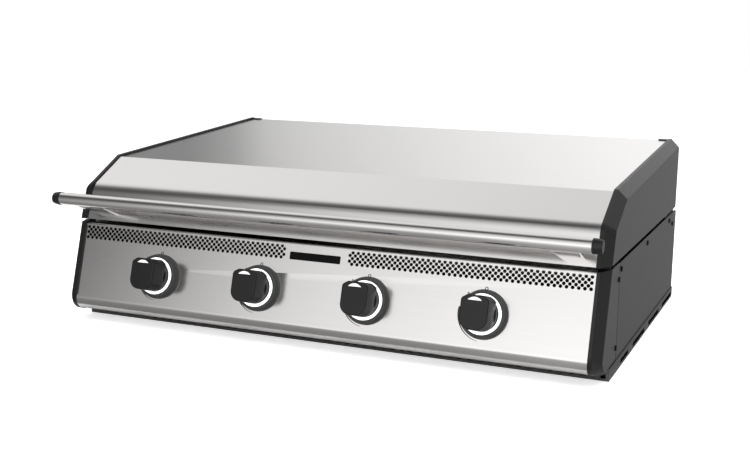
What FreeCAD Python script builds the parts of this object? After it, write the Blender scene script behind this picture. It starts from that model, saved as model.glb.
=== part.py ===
import FreeCAD
import Part
import Sketcher
import math
import os
import re

# Drop-in gas griddle with a hinged hood, in millimetres.
# The origin is the middle of the base's underside. +Z is up, the front faces -Y and +X is to the right.

SIZES = (
    ("body_width", 960, "across the two side panels"),
    ("body_rear", 298, "middle of the base to the back of the side panels"),
    ("body_top", 177, "top edge of the side panels"),
    ("sheet", 1.5, "folded steel of the chassis"),
    ("skin", 1.2, "stainless sheet of the hood and the control panel"),
    ("side_flange", 15, "inward flanges of a side panel"),
    ("corner_cut", 6, "cut top rear corner of a side panel"),
    ("rear_drop", 3, "top of the rear panel below the side panels"),
    ("fit_gap", 0.3, "room between pieces that only lie close"),
    ("run_gap", 0.08, "radial room of a turning fit"),
    ("base_height", 20, "rim of the base tray"),
    ("slot_long", 107, "long air slot in the base's side"),
    ("slot_short", 64, "short air slot at the front of the base's side"),
    ("slot_space", 40, "metal between two air slots"),
    ("slot_margin", 11.5, "last air slot to the back of the base"),
    ("slot_height", 8, "height of an air slot"),
    ("slot_level", 8, "middle of an air slot above the ground"),
    ("air_hole", 7.5, "square air hole in the base's front"),
    ("air_pitch", 16.6, "step of the square air holes"),
    ("air_plain", 135, "plain left end of the base's front"),
    ("air_margin", 9.5, "last square air hole to the base's right end"),
    ("seam", 250, "joint of end cap and side panel, in front of the middle"),
    ("panel_front", 330.3, "top edge of the control panel, in front of the middle"),
    ("panel_drop", 1.6, "top edge of the control panel below the side panels"),
    ("panel_lean", 16.5, "lean of the control panel, degrees"),
    ("panel_roll", 25, "radius of the panel's rolled bottom"),
    ("panel_bend", 3, "radius of the panel's top bend"),
    ("panel_shelf", 28, "depth of the panel's top flange"),
    ("vent_hole", 4.1, "vent hole across"),
    ("vent_pitch", 9.3, "step of the vent holes in a row"),
    ("vent_margin", 5, "last vent hole to the end of the panel"),
    ("vent_start", 64.5, "first hole of a full row from the middle"),
    ("vent_drop", 6.6, "top row of holes below the panel's top edge"),
    ("cap_width", 19, "width of a black end cap"),
    ("cap_wall", 2.5, "wall of an end cap"),
    ("cap_proud", 3, "end cap proud of the stainless sheet"),
    ("cap_back", 2, "end cap and its lip proud of the hood's back"),
    ("cap_rim", 6.3, "flat rim of an end cap beside the sheet"),
    ("cap_inset", 18, "outer edge of an end cap inside the sheet's line"),
    ("cap_round", 6, "least bend radius at an end cap's outer edge"),
    ("hood_gap", 6.2, "hood above the side panels"),
    ("hood_step", 1.4, "hood's lower front edge in front of the panel's top edge"),
    ("knee_step", 19.8, "corner between the hood's two front faces behind its lower edge"),
    ("knee_rise", 58.1, "that corner above the hood's lower edge"),
    ("hood_bend", 20, "radius that rounds that corner"),
    ("crest_step", 103.2, "crease between the hood's front and top behind its lower edge"),
    ("crest_rise", 100.5, "that crease above the hood's lower edge"),
    ("crest_bend", 6, "radius of that crease"),
    ("hood_inset", 9, "back of the hood's sheet in front of the body's back"),
    ("back_rise", 132, "hood's rear edge above its lower edge"),
    ("back_bend", 9, "radius of the hood's rear edge"),
    ("hem", 12, "hem folded in along the hood's lower front edge"),
    ("rear_lip", 19, "end cap's lip along the hood's rear edge"),
    ("rear_lip_depth", 7, "depth of that lip on the hood's top"),
    ("tube_diameter", 22, "handle tube"),
    ("tube_wall", 1.5, "wall of the handle tube"),
    ("tube_inset", 14.5, "end of the handle tube inside the body's side"),
    ("handle_reach", 55.8, "axis of the handle in front of the hood's lower edge"),
    ("handle_rise", 43.4, "axis of the handle above the hood's lower edge"),
    ("grip_cap", 23.4, "handle end cap across"),
    ("grip_cap_length", 16, "head of a handle end cap"),
    ("grip_cap_bevel", 3, "bevel at the end of the handle"),
    ("grip_plug", 20, "plug of a handle end cap inside the tube"),
    ("arm_inset", 61.5, "middle of a handle bracket inside the body's side"),
    ("arm_width", 43, "width of a handle bracket"),
    ("arm_sheet", 2, "wall of a handle bracket"),
    ("arm_lift", 6.8, "foot of a handle bracket above the hood's lower edge"),
    ("arm_height", 24, "height of a handle bracket's foot"),
    ("pivot_inset", 0.5, "hood hinge behind the hood's sheet"),
    ("pivot_rise", 0.2, "hood hinge above the side panels"),
    ("pivot_ear", 5.6, "radius of a hinge ear"),
    ("pivot_pin", 3, "radius of a hinge pin"),
    ("hinge_plate", 3.5, "thickness of the hinge plates"),
    ("hinge_post", 3, "posts that hold a hinge plate off the side panel"),
    ("hinge_post_radius", 6, "radius of those posts"),
    ("hinge_gap", 1.5, "room between the two plates of a hinge"),
    ("plate_margin", 23, "griddle plate to the body's side"),
    ("plate_overhang_rear", 31.5, "griddle plate behind the firebox"),
    ("plate_overhang", 19.5, "griddle plate in front of the firewall"),
    ("plate_floor", 6, "thickness of the cooking surface"),
    ("plate_sink", 19, "cooking surface below the side panels"),
    ("plate_wall", 3, "thickness of the plate's rim"),
    ("lip_height", 18, "front rim above the cooking surface"),
    ("splash_height", 38, "side and rear rim above the cooking surface"),
    ("splash_start", 133, "where the side rim starts to rise, behind the front rim"),
    ("splash_run", 50, "length over which the side rim rises"),
    ("plate_corner", 35, "front corners of the griddle plate"),
    ("plate_corner_rear", 10, "rear corners of the griddle plate"),
    ("drain_width", 80, "grease slot in the griddle plate"),
    ("drain_depth", 14, "grease slot front to back"),
    ("drain_round", 6.3, "rounded corners of the grease slot"),
    ("drain_margin", 8, "grease slot to the rear rim"),
    ("plate_overhang_side", 15.5, "griddle plate beyond the firebox's side"),
    ("firewall_step", 13.5, "firewall in front of the side panels' seam"),
    ("firebox_space", 71.5, "firebox to the back of the body"),
    ("leveller_height", 6, "height of those pads"),
    ("firebox_ledge", 20, "ledges along the top of the firebox walls"),
    ("leveller_radius", 9.5, "pads that carry the griddle plate"),
    ("leveller_inset", 40, "pads from the ends of the side walls"),
    ("shield_height", 30, "top of the heat shield above the base"),
    ("knob_pitch", 196.7, "step of the four knobs"),
    ("knob_drop", 78, "knob axis below the panel's top edge"),
    ("panel_hole", 14, "radius of the hole behind a knob"),
    ("bezel_radius", 38.9, "knob bezel"),
    ("bezel_height", 13, "knob bezel in front of the panel"),
    ("bezel_draft", 2.4, "bezel's front edge inside its foot"),
    ("ring_outer", 33, "light ring, outer radius"),
    ("ring_inner", 27, "light ring, inner radius"),
    ("ring_height", 4.5, "light ring, height"),
    ("ring_bevel", 1.5, "bevelled front edges of the light ring"),
    ("ring_seat", 9.5, "light ring's seat in front of the panel"),
    ("skirt_radius", 25.5, "disc at the foot of a knob"),
    ("skirt_start", 6, "knob's foot in front of the panel"),
    ("skirt_height", 12.5, "height of the knob's foot"),
    ("grip_width", 46, "knob grip across"),
    ("grip_height", 53, "knob grip from top to bottom"),
    ("grip_front", 55, "knob's face in front of the panel"),
    ("grip_corner", 10, "upper corners of the grip"),
    ("grip_edge", 2.5, "bevelled edge of the knob's face"),
    ("pointer_width", 22, "pointer window across"),
    ("pointer_crown", 15.8, "upper edge of the pointer window"),
    ("pointer_height", 6, "pointer window from top to bottom"),
    ("pointer_top", 3.5, "pointer window below the grip's top"),
    ("pointer_sink", 1.5, "depth of the pointer window"),
    ("push", 4, "how far a knob is pushed in"),
    ("stem_radius", 3.9, "valve stem"),
    ("stem_gap", 0.3, "room round the sliding stem"),
    ("stem_seat", 24, "stem's length inside the knob"),
    ("valve_depth", 46, "middle of a valve behind the panel's face"),
    ("valve_radius", 13, "valve barrel"),
    ("valve_half", 14, "half length of a valve barrel"),
    ("valve_floor", 4, "closed end of a valve barrel"),
    ("valve_neck", 10, "radius of a valve's neck"),
    ("valve_neck_length", 8, "length of a valve's neck"),
    ("plug_radius", 8, "turning plug inside a valve"),
    ("spout_radius", 6, "gas outlet of a valve"),
    ("spout_reach", 23, "end of the outlet from the valve's middle"),
    ("jet_radius", 3.5, "gas jet on the outlet"),
    ("jet_length", 8, "length of the gas jet"),
    ("inlet_radius", 7, "gas inlet of a valve"),
    ("manifold_size", 24, "square gas manifold"),
    ("manifold_wall", 2, "wall of the manifold"),
    ("manifold_drop", 34, "manifold below the valves"),
    ("manifold_inset", 60, "end of the manifold inside the body's side"),
    ("pipe_radius", 7, "gas pipe to the rear"),
    ("pipe_wall", 1, "wall of the gas pipe"),
    ("pipe_space", 1.5, "room between gas pipe and firebox"),
    ("pipe_bend", 24, "bend of the gas pipe"),
    ("nut_radius", 10.5, "hexagon of the gas fitting"),
    ("nut_length", 10, "length of that hexagon"),
    ("thread_radius", 7.94, "male end of the gas fitting"),
    ("thread_length", 24, "male end behind the rear panel"),
    ("burner_radius", 14, "burner tube"),
    ("burner_wall", 1.2, "wall of a burner"),
    ("burner_mouth", 15, "mouth of a burner's mixing tube"),
    ("burner_throat", 10.8, "mixing tube through the firewall"),
    ("burner_start", 8, "mouth of the mixing tube behind the valve outlet"),
    ("throat_lead", 6, "throat of a burner in front of the firewall"),
    ("throat_run", 18, "end of that throat behind the firewall's face"),
    ("swell_run", 36, "start of the full burner tube behind the firewall's face"),
    ("burner_space", 48.5, "closed end of a burner to the back of the firebox"),
    ("burner_tab", 24, "tab at a burner's closed end"),
    ("port_length", 12, "gas port"),
    ("port_height", 2.2, "height of a gas port"),
    ("port_pitch", 36, "step of the gas ports"),
    ("port_margin", 24, "last gas port to the burner's closed end"),
    ("rail_depth", 30, "rail that carries the burner ends"),
    ("rail_height", 24, "upright leg of that rail"),
    ("spark_radius", 4, "ceramic of a spark electrode"),
    ("spark_collar", 7, "collar of a spark electrode"),
    ("spark_collar_length", 4.7, "length of that collar"),
    ("spark_place", 30, "spark electrode beside its burner"),
    ("spark_rise", 12, "spark electrode above its burner's axis"),
    ("spark_length", 40, "ceramic behind the firewall"),
    ("spark_tail", 14, "ceramic in front of the firewall"),
    ("module_width", 70, "spark module"),
    ("module_depth", 28, "spark module front to back"),
    ("module_height", 36, "spark module's height"),
    ("module_corner", 3.5, "rounded corners of the spark module"),
    ("module_rise", 16, "underside of the spark module above the burners' axis"),
    ("cup_width", 140, "grease cup across"),
    ("cup_depth", 70, "grease cup front to back"),
    ("cup_height", 66, "grease cup's height"),
    ("cup_wall", 1.5, "wall of the grease cup"),
    ("cup_level", 60, "underside of the grease cup"),
    ("cup_face", 9, "grease cup's face beyond its window"),
    ("cup_pull", 14, "finger pull of the grease cup"),
    ("shelf_lip", 14, "upright edges of the grease cup's shelf"),
    ("rear_slot_width", 60, "air slot in the rear panel"),
    ("rear_slot_height", 6, "height of that slot"),
    ("rear_slot_drop", 37, "middle of that slot below the side panels"),
    ("rear_slot_pitch", 88, "step of the rear air slots"),
    ("rear_slot_start", 130, "first rear air slot from the middle"),
    ("rear_slot_margin", 18, "last rear air slot to the body's side"),
    ("bumper_radius", 6, "rubber bumper under the hood"),
    ("bumper_step", 27.3, "bumper behind the panel's top edge"),
    ("bumper_side", 9.5, "bumper from the side of the body"),
    ("web_depth", 22, "web in the hood's end cap above a bumper"),
    ("hinge_reach", 81.5, "front end of a hinge plate from its pin"),
    ("hinge_drop", 3, "top of a hinge plate below the side panel"),
    ("hinge_height", 26, "height of a hinge plate"),
    ("hinge_corner", 4, "rounded corners of a hinge plate"),
    ("post_far", 69.5, "far post of a hinge plate from its pin"),
    ("post_far_drop", 10.5, "that post below the side panel's top"),
    ("post_near", 31.5, "near post of a hinge plate from its pin"),
    ("post_near_drop", 22, "that post below the side panel's top"),
    ("leaf_gap", 3, "hinge arm in front of the hood's back"),
    ("leaf_reach", 63.5, "front end of a hinge arm from the pin"),
    ("leaf_top", 55, "top of a hinge arm above the hood's lower edge"),
    ("leaf_low", 30, "lower front corner of a hinge arm"),
    ("leaf_neck", 20, "top of a hinge arm's neck"),
    ("leaf_corner", 6, "rounded corners of a hinge arm"),
    ("leaf_post_far", 51.5, "far post of a hinge arm from the pin"),
    ("leaf_post_near", 17.5, "near post of a hinge arm from the pin"),
    ("leaf_post_rise", 43, "those posts above the hood's lower edge"),
    ("screw_middle", 13, "middle side screw in front of the middle"),
    ("screw_inset", 9.5, "front side screw behind the seam"),
    ("screw_drop", 12, "upper side screws below the top edge"),
    ("cap_screw_top", 26, "upper screw of an end cap below the top edge"),
    ("cap_screw_top_inset", 6, "upper screw of an end cap in front of the seam"),
    ("cap_screw_low", 21, "lower screw of an end cap above the base"),
    ("cap_screw_low_inset", 5, "lower screw of an end cap in front of the seam"),
    ("screw_radius", 4.2, "screw heads on the body's sides"),
    ("screw_head", 1.8, "height of a screw head"),
)

# Places and sizes that follow from the driving ones
PLACES = {
    "half_width": "body_width / 2",
    "cap_edge": "half_width - cap_width",
    "tray_rear": "body_rear + 2 * sheet",
    "air_last": "half_width + sheet - air_margin",
    "air_count": "floor((air_last + half_width - air_plain) / air_pitch) + 1",
    "air_first": "air_last - (air_count - 1) * air_pitch",
    "rear_slot_level": "body_top - rear_slot_drop",
    "rear_slot_run": "half_width - rear_slot_margin - rear_slot_width - rear_slot_start",
    "rear_slot_count": "floor(rear_slot_run / rear_slot_pitch) + 1",
    "panel_top": "body_top - panel_drop",
    "vent_level": "panel_top - vent_drop",
    "vent_count": "floor((cap_edge - vent_margin - vent_start) / vent_pitch) + 1",
    "knob_level": "panel_top - knob_drop",
    "knob_y": "-(panel_front + knob_drop * tan(panel_lean))",
    "knob_tilt": "90 - panel_lean",
    "valve_y": "knob_y + valve_depth * cos(panel_lean)",
    "burner_level": "knob_level - valve_depth * sin(panel_lean)",
    "manifold_level": "burner_level - manifold_drop",
    "manifold_half": "half_width - manifold_inset",
    "jet_y": "valve_y + spout_reach",
    "firebox_front": "seam + firewall_step",
    "firebox_rear": "body_rear - firebox_space",
    "firebox_top": "plate_level - plate_floor - leveller_height",
    "firebox_side": "plate_width / 2 - plate_overhang_side",
    "shield_level": "sheet + shield_height",
    "plate_width": "body_width - 2 * plate_margin",
    "plate_front": "firebox_front + plate_overhang",
    "plate_back": "firebox_rear + plate_overhang_rear",
    "plate_level": "body_top - plate_sink",
    "splash_front": "plate_front - splash_start",
    "burner_rear": "firebox_rear - burner_space",
    "burner_tube": "swell_run - firebox_front",
    "port_start": "burner_tube + port_length",
    "port_count": "floor((burner_rear - port_margin - port_start) / port_pitch) + 1",
    "pipe_place": "firebox_side + pipe_radius + pipe_space",
    "module_level": "burner_level + module_rise",
    "hood_bottom": "body_top + hood_gap",
    "hood_front": "panel_front + hood_step",
    "hood_back": "body_rear - hood_inset",
    "knee_front": "hood_front - knee_step",
    "knee_level": "hood_bottom + knee_rise",
    "crest_front": "hood_front - crest_step",
    "crest_level": "hood_bottom + crest_rise",
    "back_level": "hood_bottom + back_rise",
    "tube_half": "half_width - tube_inset",
    "handle_front": "hood_front + handle_reach",
    "handle_level": "hood_bottom + handle_rise",
    "arm_place": "half_width - arm_inset",
    "arm_foot": "hood_bottom + arm_lift",
    "arm_head": "arm_foot + arm_height",
    "pivot_y": "hood_back + pivot_inset",
    "pivot_level": "body_top + pivot_rise",
    "bumper_front": "panel_front - bumper_step",
    "cup_side": "cup_width / 2",
    "cup_window": "cup_side + fit_gap",
    "cup_face_y": "body_rear + sheet + fit_gap",
}

doc = FreeCAD.newDocument("drop_in_griddle")
sheet = doc.addObject("Spreadsheet::Sheet", "dim")
for row, (name, number, note) in enumerate(SIZES, start=1):
    sheet.set("A%d" % row, name)
    sheet.set("B%d" % row, str(number))
    sheet.setAlias("B%d" % row, name)
    sheet.set("C%d" % row, note)
doc.recompute()

SIZE_NAMES = re.compile(r"\b(%s)\b" % "|".join(name for name, number, note in SIZES))
PLACE_NAMES = re.compile(r"\b(%s)\b" % "|".join(PLACES))
sub_parts = []


def tied(text):
    """Turn a formula in the names above into an expression of the sheet's cells."""
    while PLACE_NAMES.search(text):
        text = PLACE_NAMES.sub(lambda found: "(%s)" % PLACES[found.group(1)], text)
    return SIZE_NAMES.sub(r"dim.\1", text)


def value(text):
    return float(sheet.evalExpression(tied(text)))


def new_body(label, compound=False):
    body = doc.addObject("PartDesign::Body", label)
    body.Label = label
    body.AllowCompound = compound
    sub_parts.append(body)
    return body


def new_sketch(body, plane, offset="0", rise="0", tilt="0"):
    """Sketch on an origin plane of the body, moved along its normal and its own Y, tilted about its X."""
    sketch = body.newObject("Sketcher::SketchObject", body.Label + "_sketch")
    base = [f for f in body.Origin.OriginFeatures if f.Role == plane + "_Plane"]
    sketch.AttachmentSupport = [(base[0], "")]
    sketch.MapMode = "FlatFace"
    turn = FreeCAD.Rotation(FreeCAD.Vector(1, 0, 0), value(tilt))
    sketch.AttachmentOffset = FreeCAD.Placement(FreeCAD.Vector(0, value(rise), value(offset)), turn)
    sketch.setExpression("AttachmentOffset.Base.z", tied(offset))
    sketch.setExpression("AttachmentOffset.Base.y", tied(rise))
    if tilt != "0":
        sketch.setExpression("AttachmentOffset.Rotation.Angle", tied(tilt))
    return sketch


def bind(sketch, constraint, formula):
    index = sketch.addConstraint(constraint)
    sketch.setExpression("Constraints[%d]" % index, tied(formula))


def pin_point(sketch, geometry, point, x, y):
    bind(sketch, Sketcher.Constraint("DistanceX", geometry, point, value(x)), x)
    bind(sketch, Sketcher.Constraint("DistanceY", geometry, point, value(y)), y)


def outline(sketch, corners):
    """Draw a closed outline through corners (x, y), or (x, y, radius) where a corner is rounded."""
    places = [FreeCAD.Vector(value(c[0]), value(c[1]), 0) for c in corners]
    count = len(corners)
    ends = []
    for k, corner in enumerate(corners):
        here = places[k]
        if len(corner) == 2:
            ends.append((here, here, None))
            continue
        radius = value(corner[2])
        before = (places[k - 1] - here).normalize()
        after = (places[(k + 1) % count] - here).normalize()
        half = before.getAngle(after) / 2
        middle = here + (before + after).normalize() * (radius / math.sin(half) - radius)
        run = radius / math.tan(half)
        ends.append((here + before * run, here + after * run, middle))
    lines = []
    for k in range(count):
        line = Part.LineSegment(ends[k][1], ends[(k + 1) % count][0])
        lines.append(sketch.addGeometry(line))
    for k, corner in enumerate(corners):
        arrive, leave, middle = ends[k]
        into, out = lines[k - 1], lines[k]
        if middle is None:
            sketch.addConstraint(Sketcher.Constraint("Coincident", into, 2, out, 1))
            pin_point(sketch, out, 1, corner[0], corner[1])
            continue
        to_left = (arrive - places[k]).cross(leave - places[k]).z < 0
        first, last = (arrive, leave) if to_left else (leave, arrive)
        arc = sketch.addGeometry(Part.Arc(first, middle, last))
        sketch.addConstraint(Sketcher.Constraint("Tangent", into, 2, arc, 1 if to_left else 2))
        sketch.addConstraint(Sketcher.Constraint("Tangent", arc, 2 if to_left else 1, out, 1))
        bind(sketch, Sketcher.Constraint("Radius", arc, value(corner[2])), corner[2])
        point = sketch.addGeometry(Part.Point(places[k]), True)
        sketch.addConstraint(Sketcher.Constraint("PointOnObject", point, 1, into))
        sketch.addConstraint(Sketcher.Constraint("PointOnObject", point, 1, out))
        pin_point(sketch, point, 1, corner[0], corner[1])


def box(sketch, left, right, low, high):
    outline(sketch, [(left, low), (right, low), (right, high), (left, high)])


def circle(sketch, x, y, radius):
    centre = FreeCAD.Vector(value(x), value(y), 0)
    index = sketch.addGeometry(Part.Circle(centre, FreeCAD.Vector(0, 0, 1), value(radius)))
    pin_point(sketch, index, 3, x, y)
    bind(sketch, Sketcher.Constraint("Radius", index, value(radius)), radius)


def pad(body, sketch, length, both=False, back=False):
    feature = body.newObject("PartDesign::Pad", body.Label + "_pad")
    feature.Profile = sketch
    feature.Midplane = both
    feature.Reversed = back
    feature.setExpression("Length", tied(length))
    return feature


def pocket(body, sketch, length, both=False, back=False):
    """Cut along the sketch's normal backwards, or forwards with back; the cut has to take metal away."""
    doc.recompute()
    before = body.Shape.Volume
    feature = body.newObject("PartDesign::Pocket", body.Label + "_cut")
    feature.Profile = sketch
    feature.Midplane = both
    feature.Reversed = back
    feature.setExpression("Length", tied(length))
    doc.recompute()
    if not body.Shape.Volume < before - 1e-6:
        raise RuntimeError("a cut in %s removes nothing" % body.Label)
    return feature


def revolve(body, sketch, axis):
    feature = body.newObject("PartDesign::Revolution", body.Label + "_turn")
    feature.Profile = sketch
    feature.ReferenceAxis = (sketch, [axis])
    feature.Angle = 360
    return feature


def loft(body, kind, first, last):
    feature = body.newObject("PartDesign::" + kind, body.Label + "_loft")
    feature.Profile = first
    feature.Sections = [last]
    feature.Ruled = True
    return feature


def row_of(body, feature, sketch, axis, pitch, count):
    """Repeat a feature along an axis of its sketch."""
    pattern = body.newObject("PartDesign::LinearPattern", body.Label + "_row")
    pattern.Originals = [feature]
    pattern.Direction = (sketch, [axis])
    pattern.setExpression("Length", tied("(%s) * ((%s) - 1)" % (pitch, count)))
    pattern.setExpression("Occurrences", tied(count))
    body.Tip = pattern
    return pattern


def shell(body, opened, wall):
    """Hollow the body to a wall, open at the faces that the test picks."""
    doc.recompute()
    solid = body.Tip
    names = ["Face%d" % (k + 1) for k, face in enumerate(solid.Shape.Faces) if opened(face)]
    feature = body.newObject("PartDesign::Thickness", body.Label + "_shell")
    feature.Base = (solid, names)
    feature.Join = "Intersection"
    feature.Reversed = True
    feature.setExpression("Value", tied(wall))
    doc.recompute()
    return feature


def bevel_edges(body, picked, size):
    doc.recompute()
    solid = body.Tip
    names = ["Edge%d" % (k + 1) for k, edge in enumerate(solid.Shape.Edges) if picked(edge)]
    feature = body.newObject("PartDesign::Chamfer", body.Label + "_bevel")
    feature.Base = (solid, names)
    feature.setExpression("Size", tied(size))
    doc.recompute()
    return feature


def mirrored(source, label):
    """The same piece on the other side of the object."""
    twin = doc.addObject("Part::Mirroring", label)
    twin.Label = label
    twin.Source = source
    twin.Normal = FreeCAD.Vector(1, 0, 0)
    sub_parts.append(twin)
    return twin


def group_of(label, pieces):
    """Several pieces of one kind as one sub-part."""
    group = doc.addObject("Part::Compound", label)
    group.Label = label
    group.Links = pieces
    sub_parts.append(group)


def place(body, x="0", y="0", z="0", tilt=None):
    """Bind the body's place; a tilt turns it about X."""
    turn = FreeCAD.Rotation(FreeCAD.Vector(1, 0, 0), value(tilt) if tilt else 0)
    body.Placement = FreeCAD.Placement(FreeCAD.Vector(value(x), value(y), value(z)), turn)
    for axis, formula in zip("xyz", (x, y, z)):
        body.setExpression("Placement.Base." + axis, tied(formula))
    if tilt:
        body.setExpression("Placement.Rotation.Angle", tied(tilt))


def near(number, formula):
    return abs(number - value(formula)) < 0.01


def offset_line(corners, moves):
    """Move each side of a closed outline outwards by its own distance and return the new corners.

    Side k runs from corner k to corner k + 1, with the inside on its left.
    """
    count = len(corners)
    normals = []
    for k in range(count):
        x0, y0 = corners[k][0], corners[k][1]
        x1, y1 = corners[(k + 1) % count][0], corners[(k + 1) % count][1]
        long = "hypot((%s) - (%s); (%s) - (%s))" % (x1, x0, y1, y0)
        normals.append(("(((%s) - (%s)) / %s)" % (y1, y0, long), "(((%s) - (%s)) / %s)" % (x0, x1, long)))
    result = []
    for k in range(count):
        ax, ay = normals[k - 1]
        bx, by = normals[k]
        p, q = moves[k - 1], moves[k]
        cross = "(%s * %s - %s * %s)" % (ax, by, ay, bx)
        x = "(%s) + ((%s) * %s - (%s) * %s) / %s" % (corners[k][0], p, by, q, ay, cross)
        y = "(%s) + ((%s) * %s - (%s) * %s) / %s" % (corners[k][1], q, ax, p, bx, cross)
        result.append((x, y))
    return result


KNOBS = ["%s * knob_pitch" % step for step in ("-1.5", "-0.5", "0.5", "1.5")]


def panel_y(level):
    return "-(panel_front + (panel_top - (%s)) * tan(panel_lean))" % level


def air_slots(sketch):
    """Three long slots and a short one in a row along the base's side."""
    slot_end = "tray_rear - slot_margin"
    low = "slot_level - slot_height / 2"
    high = "slot_level + slot_height / 2"
    for step, length in enumerate(("slot_long", "slot_long", "slot_long", "slot_short")):
        stop = "%s - %d * (slot_long + slot_space)" % (slot_end, step)
        box(sketch, "%s - %s" % (stop, length), stop, low, high)


# Base tray: folded pan with air slots in its sides and square air holes in its front
tray = new_body("base_tray")
tray_side = new_sketch(tray, "YZ")
box(tray_side, "-tray_rear", "tray_rear", "0", "base_height")
pad(tray, tray_side, "body_width + 2 * sheet", both=True)
shell(tray, lambda face: near(face.CenterOfMass.z, "base_height"), "sheet")
tray_slots = new_sketch(tray, "YZ")
air_slots(tray_slots)
pocket(tray, tray_slots, "body_width + 4 * sheet", both=True)
tray_air = new_sketch(tray, "XZ", "tray_rear + sheet")
box(tray_air, "air_first - air_hole / 2", "air_first + air_hole / 2",
    "slot_level - air_hole / 2", "slot_level + air_hole / 2")
tray_hole = pocket(tray, tray_air, "3 * sheet")
row_of(tray, tray_hole, tray_air, "H_Axis", "air_pitch", "air_count")

# Side panels: pans with flanges at the bottom, front and rear, and a cut top rear corner
right_side = new_body("side_panel_right")
side_line = new_sketch(right_side, "YZ", "half_width - side_flange")
outline(side_line, [
    ("-seam", "sheet"),
    ("body_rear", "sheet"),
    ("body_rear", "body_top - corner_cut"),
    ("body_rear - corner_cut", "body_top"),
    ("-seam", "body_top"),
])
pad(right_side, side_line, "side_flange")
shell(
    right_side,
    lambda face: near(face.CenterOfMass.x, "half_width - side_flange")
    or face.CenterOfMass.z > value("body_top - corner_cut + 0.01"),
    "sheet",
)
left_side = mirrored(right_side, "side_panel_left")

# Rear panel: flat sheet with air slots, the grease cup's window and the hole for the gas fitting
rear = new_body("rear_panel")
rear_line = new_sketch(rear, "XZ", "-body_rear")
box(rear_line, "-half_width", "half_width", "sheet", "body_top - rear_drop")
pad(rear, rear_line, "sheet", back=True)
rear_holes = new_sketch(rear, "XZ", "-body_rear")
box(rear_holes, "-cup_window", "cup_window", "cup_level - fit_gap", "cup_level + cup_height + fit_gap")
circle(rear_holes, "pipe_place", "manifold_level", "thread_radius + fit_gap")
pocket(rear, rear_holes, "4 * sheet", both=True)
rear_slots = new_sketch(rear, "XZ", "-body_rear")
box(rear_slots, "rear_slot_start", "rear_slot_start + rear_slot_width",
    "rear_slot_level - rear_slot_height / 2", "rear_slot_level + rear_slot_height / 2")
rear_slot = pocket(rear, rear_slots, "4 * sheet", both=True)
slot_set = rear.newObject("PartDesign::MultiTransform", "rear_slot_set")
slot_set.Originals = [rear_slot]
slot_row = doc.addObject("PartDesign::LinearPattern", "rear_slot_row")
slot_row.Direction = (rear_slots, ["H_Axis"])
slot_row.setExpression("Length", tied("rear_slot_pitch * (rear_slot_count - 1)"))
slot_row.setExpression("Occurrences", tied("rear_slot_count"))
slot_twin = doc.addObject("PartDesign::Mirrored", "rear_slot_twin")
slot_twin.MirrorPlane = (rear_slots, ["V_Axis"])
rear.addObject(slot_row)
rear.addObject(slot_twin)
slot_set.Transformations = [slot_row, slot_twin]
rear.Tip = slot_set

# Control panel: leaning stainless sheet, rolled under at the bottom and folded back at the top
panel = new_body("control_panel")
panel_line = new_sketch(panel, "YZ")
outline(panel_line, [
    (panel_y("base_height"), "base_height", "panel_roll"),
    ("-tray_rear + sheet", "base_height"),
    ("-panel_front + panel_shelf", "panel_top"),
    ("-panel_front", "panel_top", "panel_bend"),
])
pad(panel, panel_line, "2 * cap_edge", both=True)
shell(
    panel,
    lambda face: abs(face.normalAt(0, 0).x) > 0.99
    or (face.normalAt(0, 0).y > 0.5 and face.CenterOfMass.y > value("-panel_front")),
    "skin",
)
knob_holes = new_sketch(panel, "XZ", "-knob_y", "knob_level", "-panel_lean")
for across in KNOBS:
    circle(knob_holes, across, "0", "panel_hole")
pocket(panel, knob_holes, "6 * skin", both=True)

# The two vent bands: five staggered rows of small holes each side of the middle
vents = new_sketch(panel, "XZ", "-knob_y", "knob_level", "-panel_lean")
vent_rise = "(vent_level - knob_level) / cos(panel_lean)"
for row in range(5):
    across = "vent_start" if row % 2 == 0 else "vent_start - vent_pitch / 2"
    height = "%s - %d * vent_pitch / 2" % (vent_rise, row)
    box(vents, across + " - vent_hole / 2", across + " + vent_hole / 2",
        height + " - vent_hole / 2", height + " + vent_hole / 2")
vent_cut = pocket(panel, vents, "6 * skin", both=True)
vent_set = panel.newObject("PartDesign::MultiTransform", "vent_set")
vent_set.Originals = [vent_cut]
vent_row = doc.addObject("PartDesign::LinearPattern", "vent_row")
vent_row.Direction = (vents, ["H_Axis"])
vent_row.setExpression("Length", tied("vent_pitch * (vent_count - 1)"))
vent_row.setExpression("Occurrences", tied("vent_count"))
vent_twin = doc.addObject("PartDesign::Mirrored", "vent_twin")
vent_twin.MirrorPlane = (vents, ["V_Axis"])
panel.addObject(vent_row)
panel.addObject(vent_twin)
vent_set.Transformations = [vent_row, vent_twin]
panel.Tip = vent_set


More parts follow.
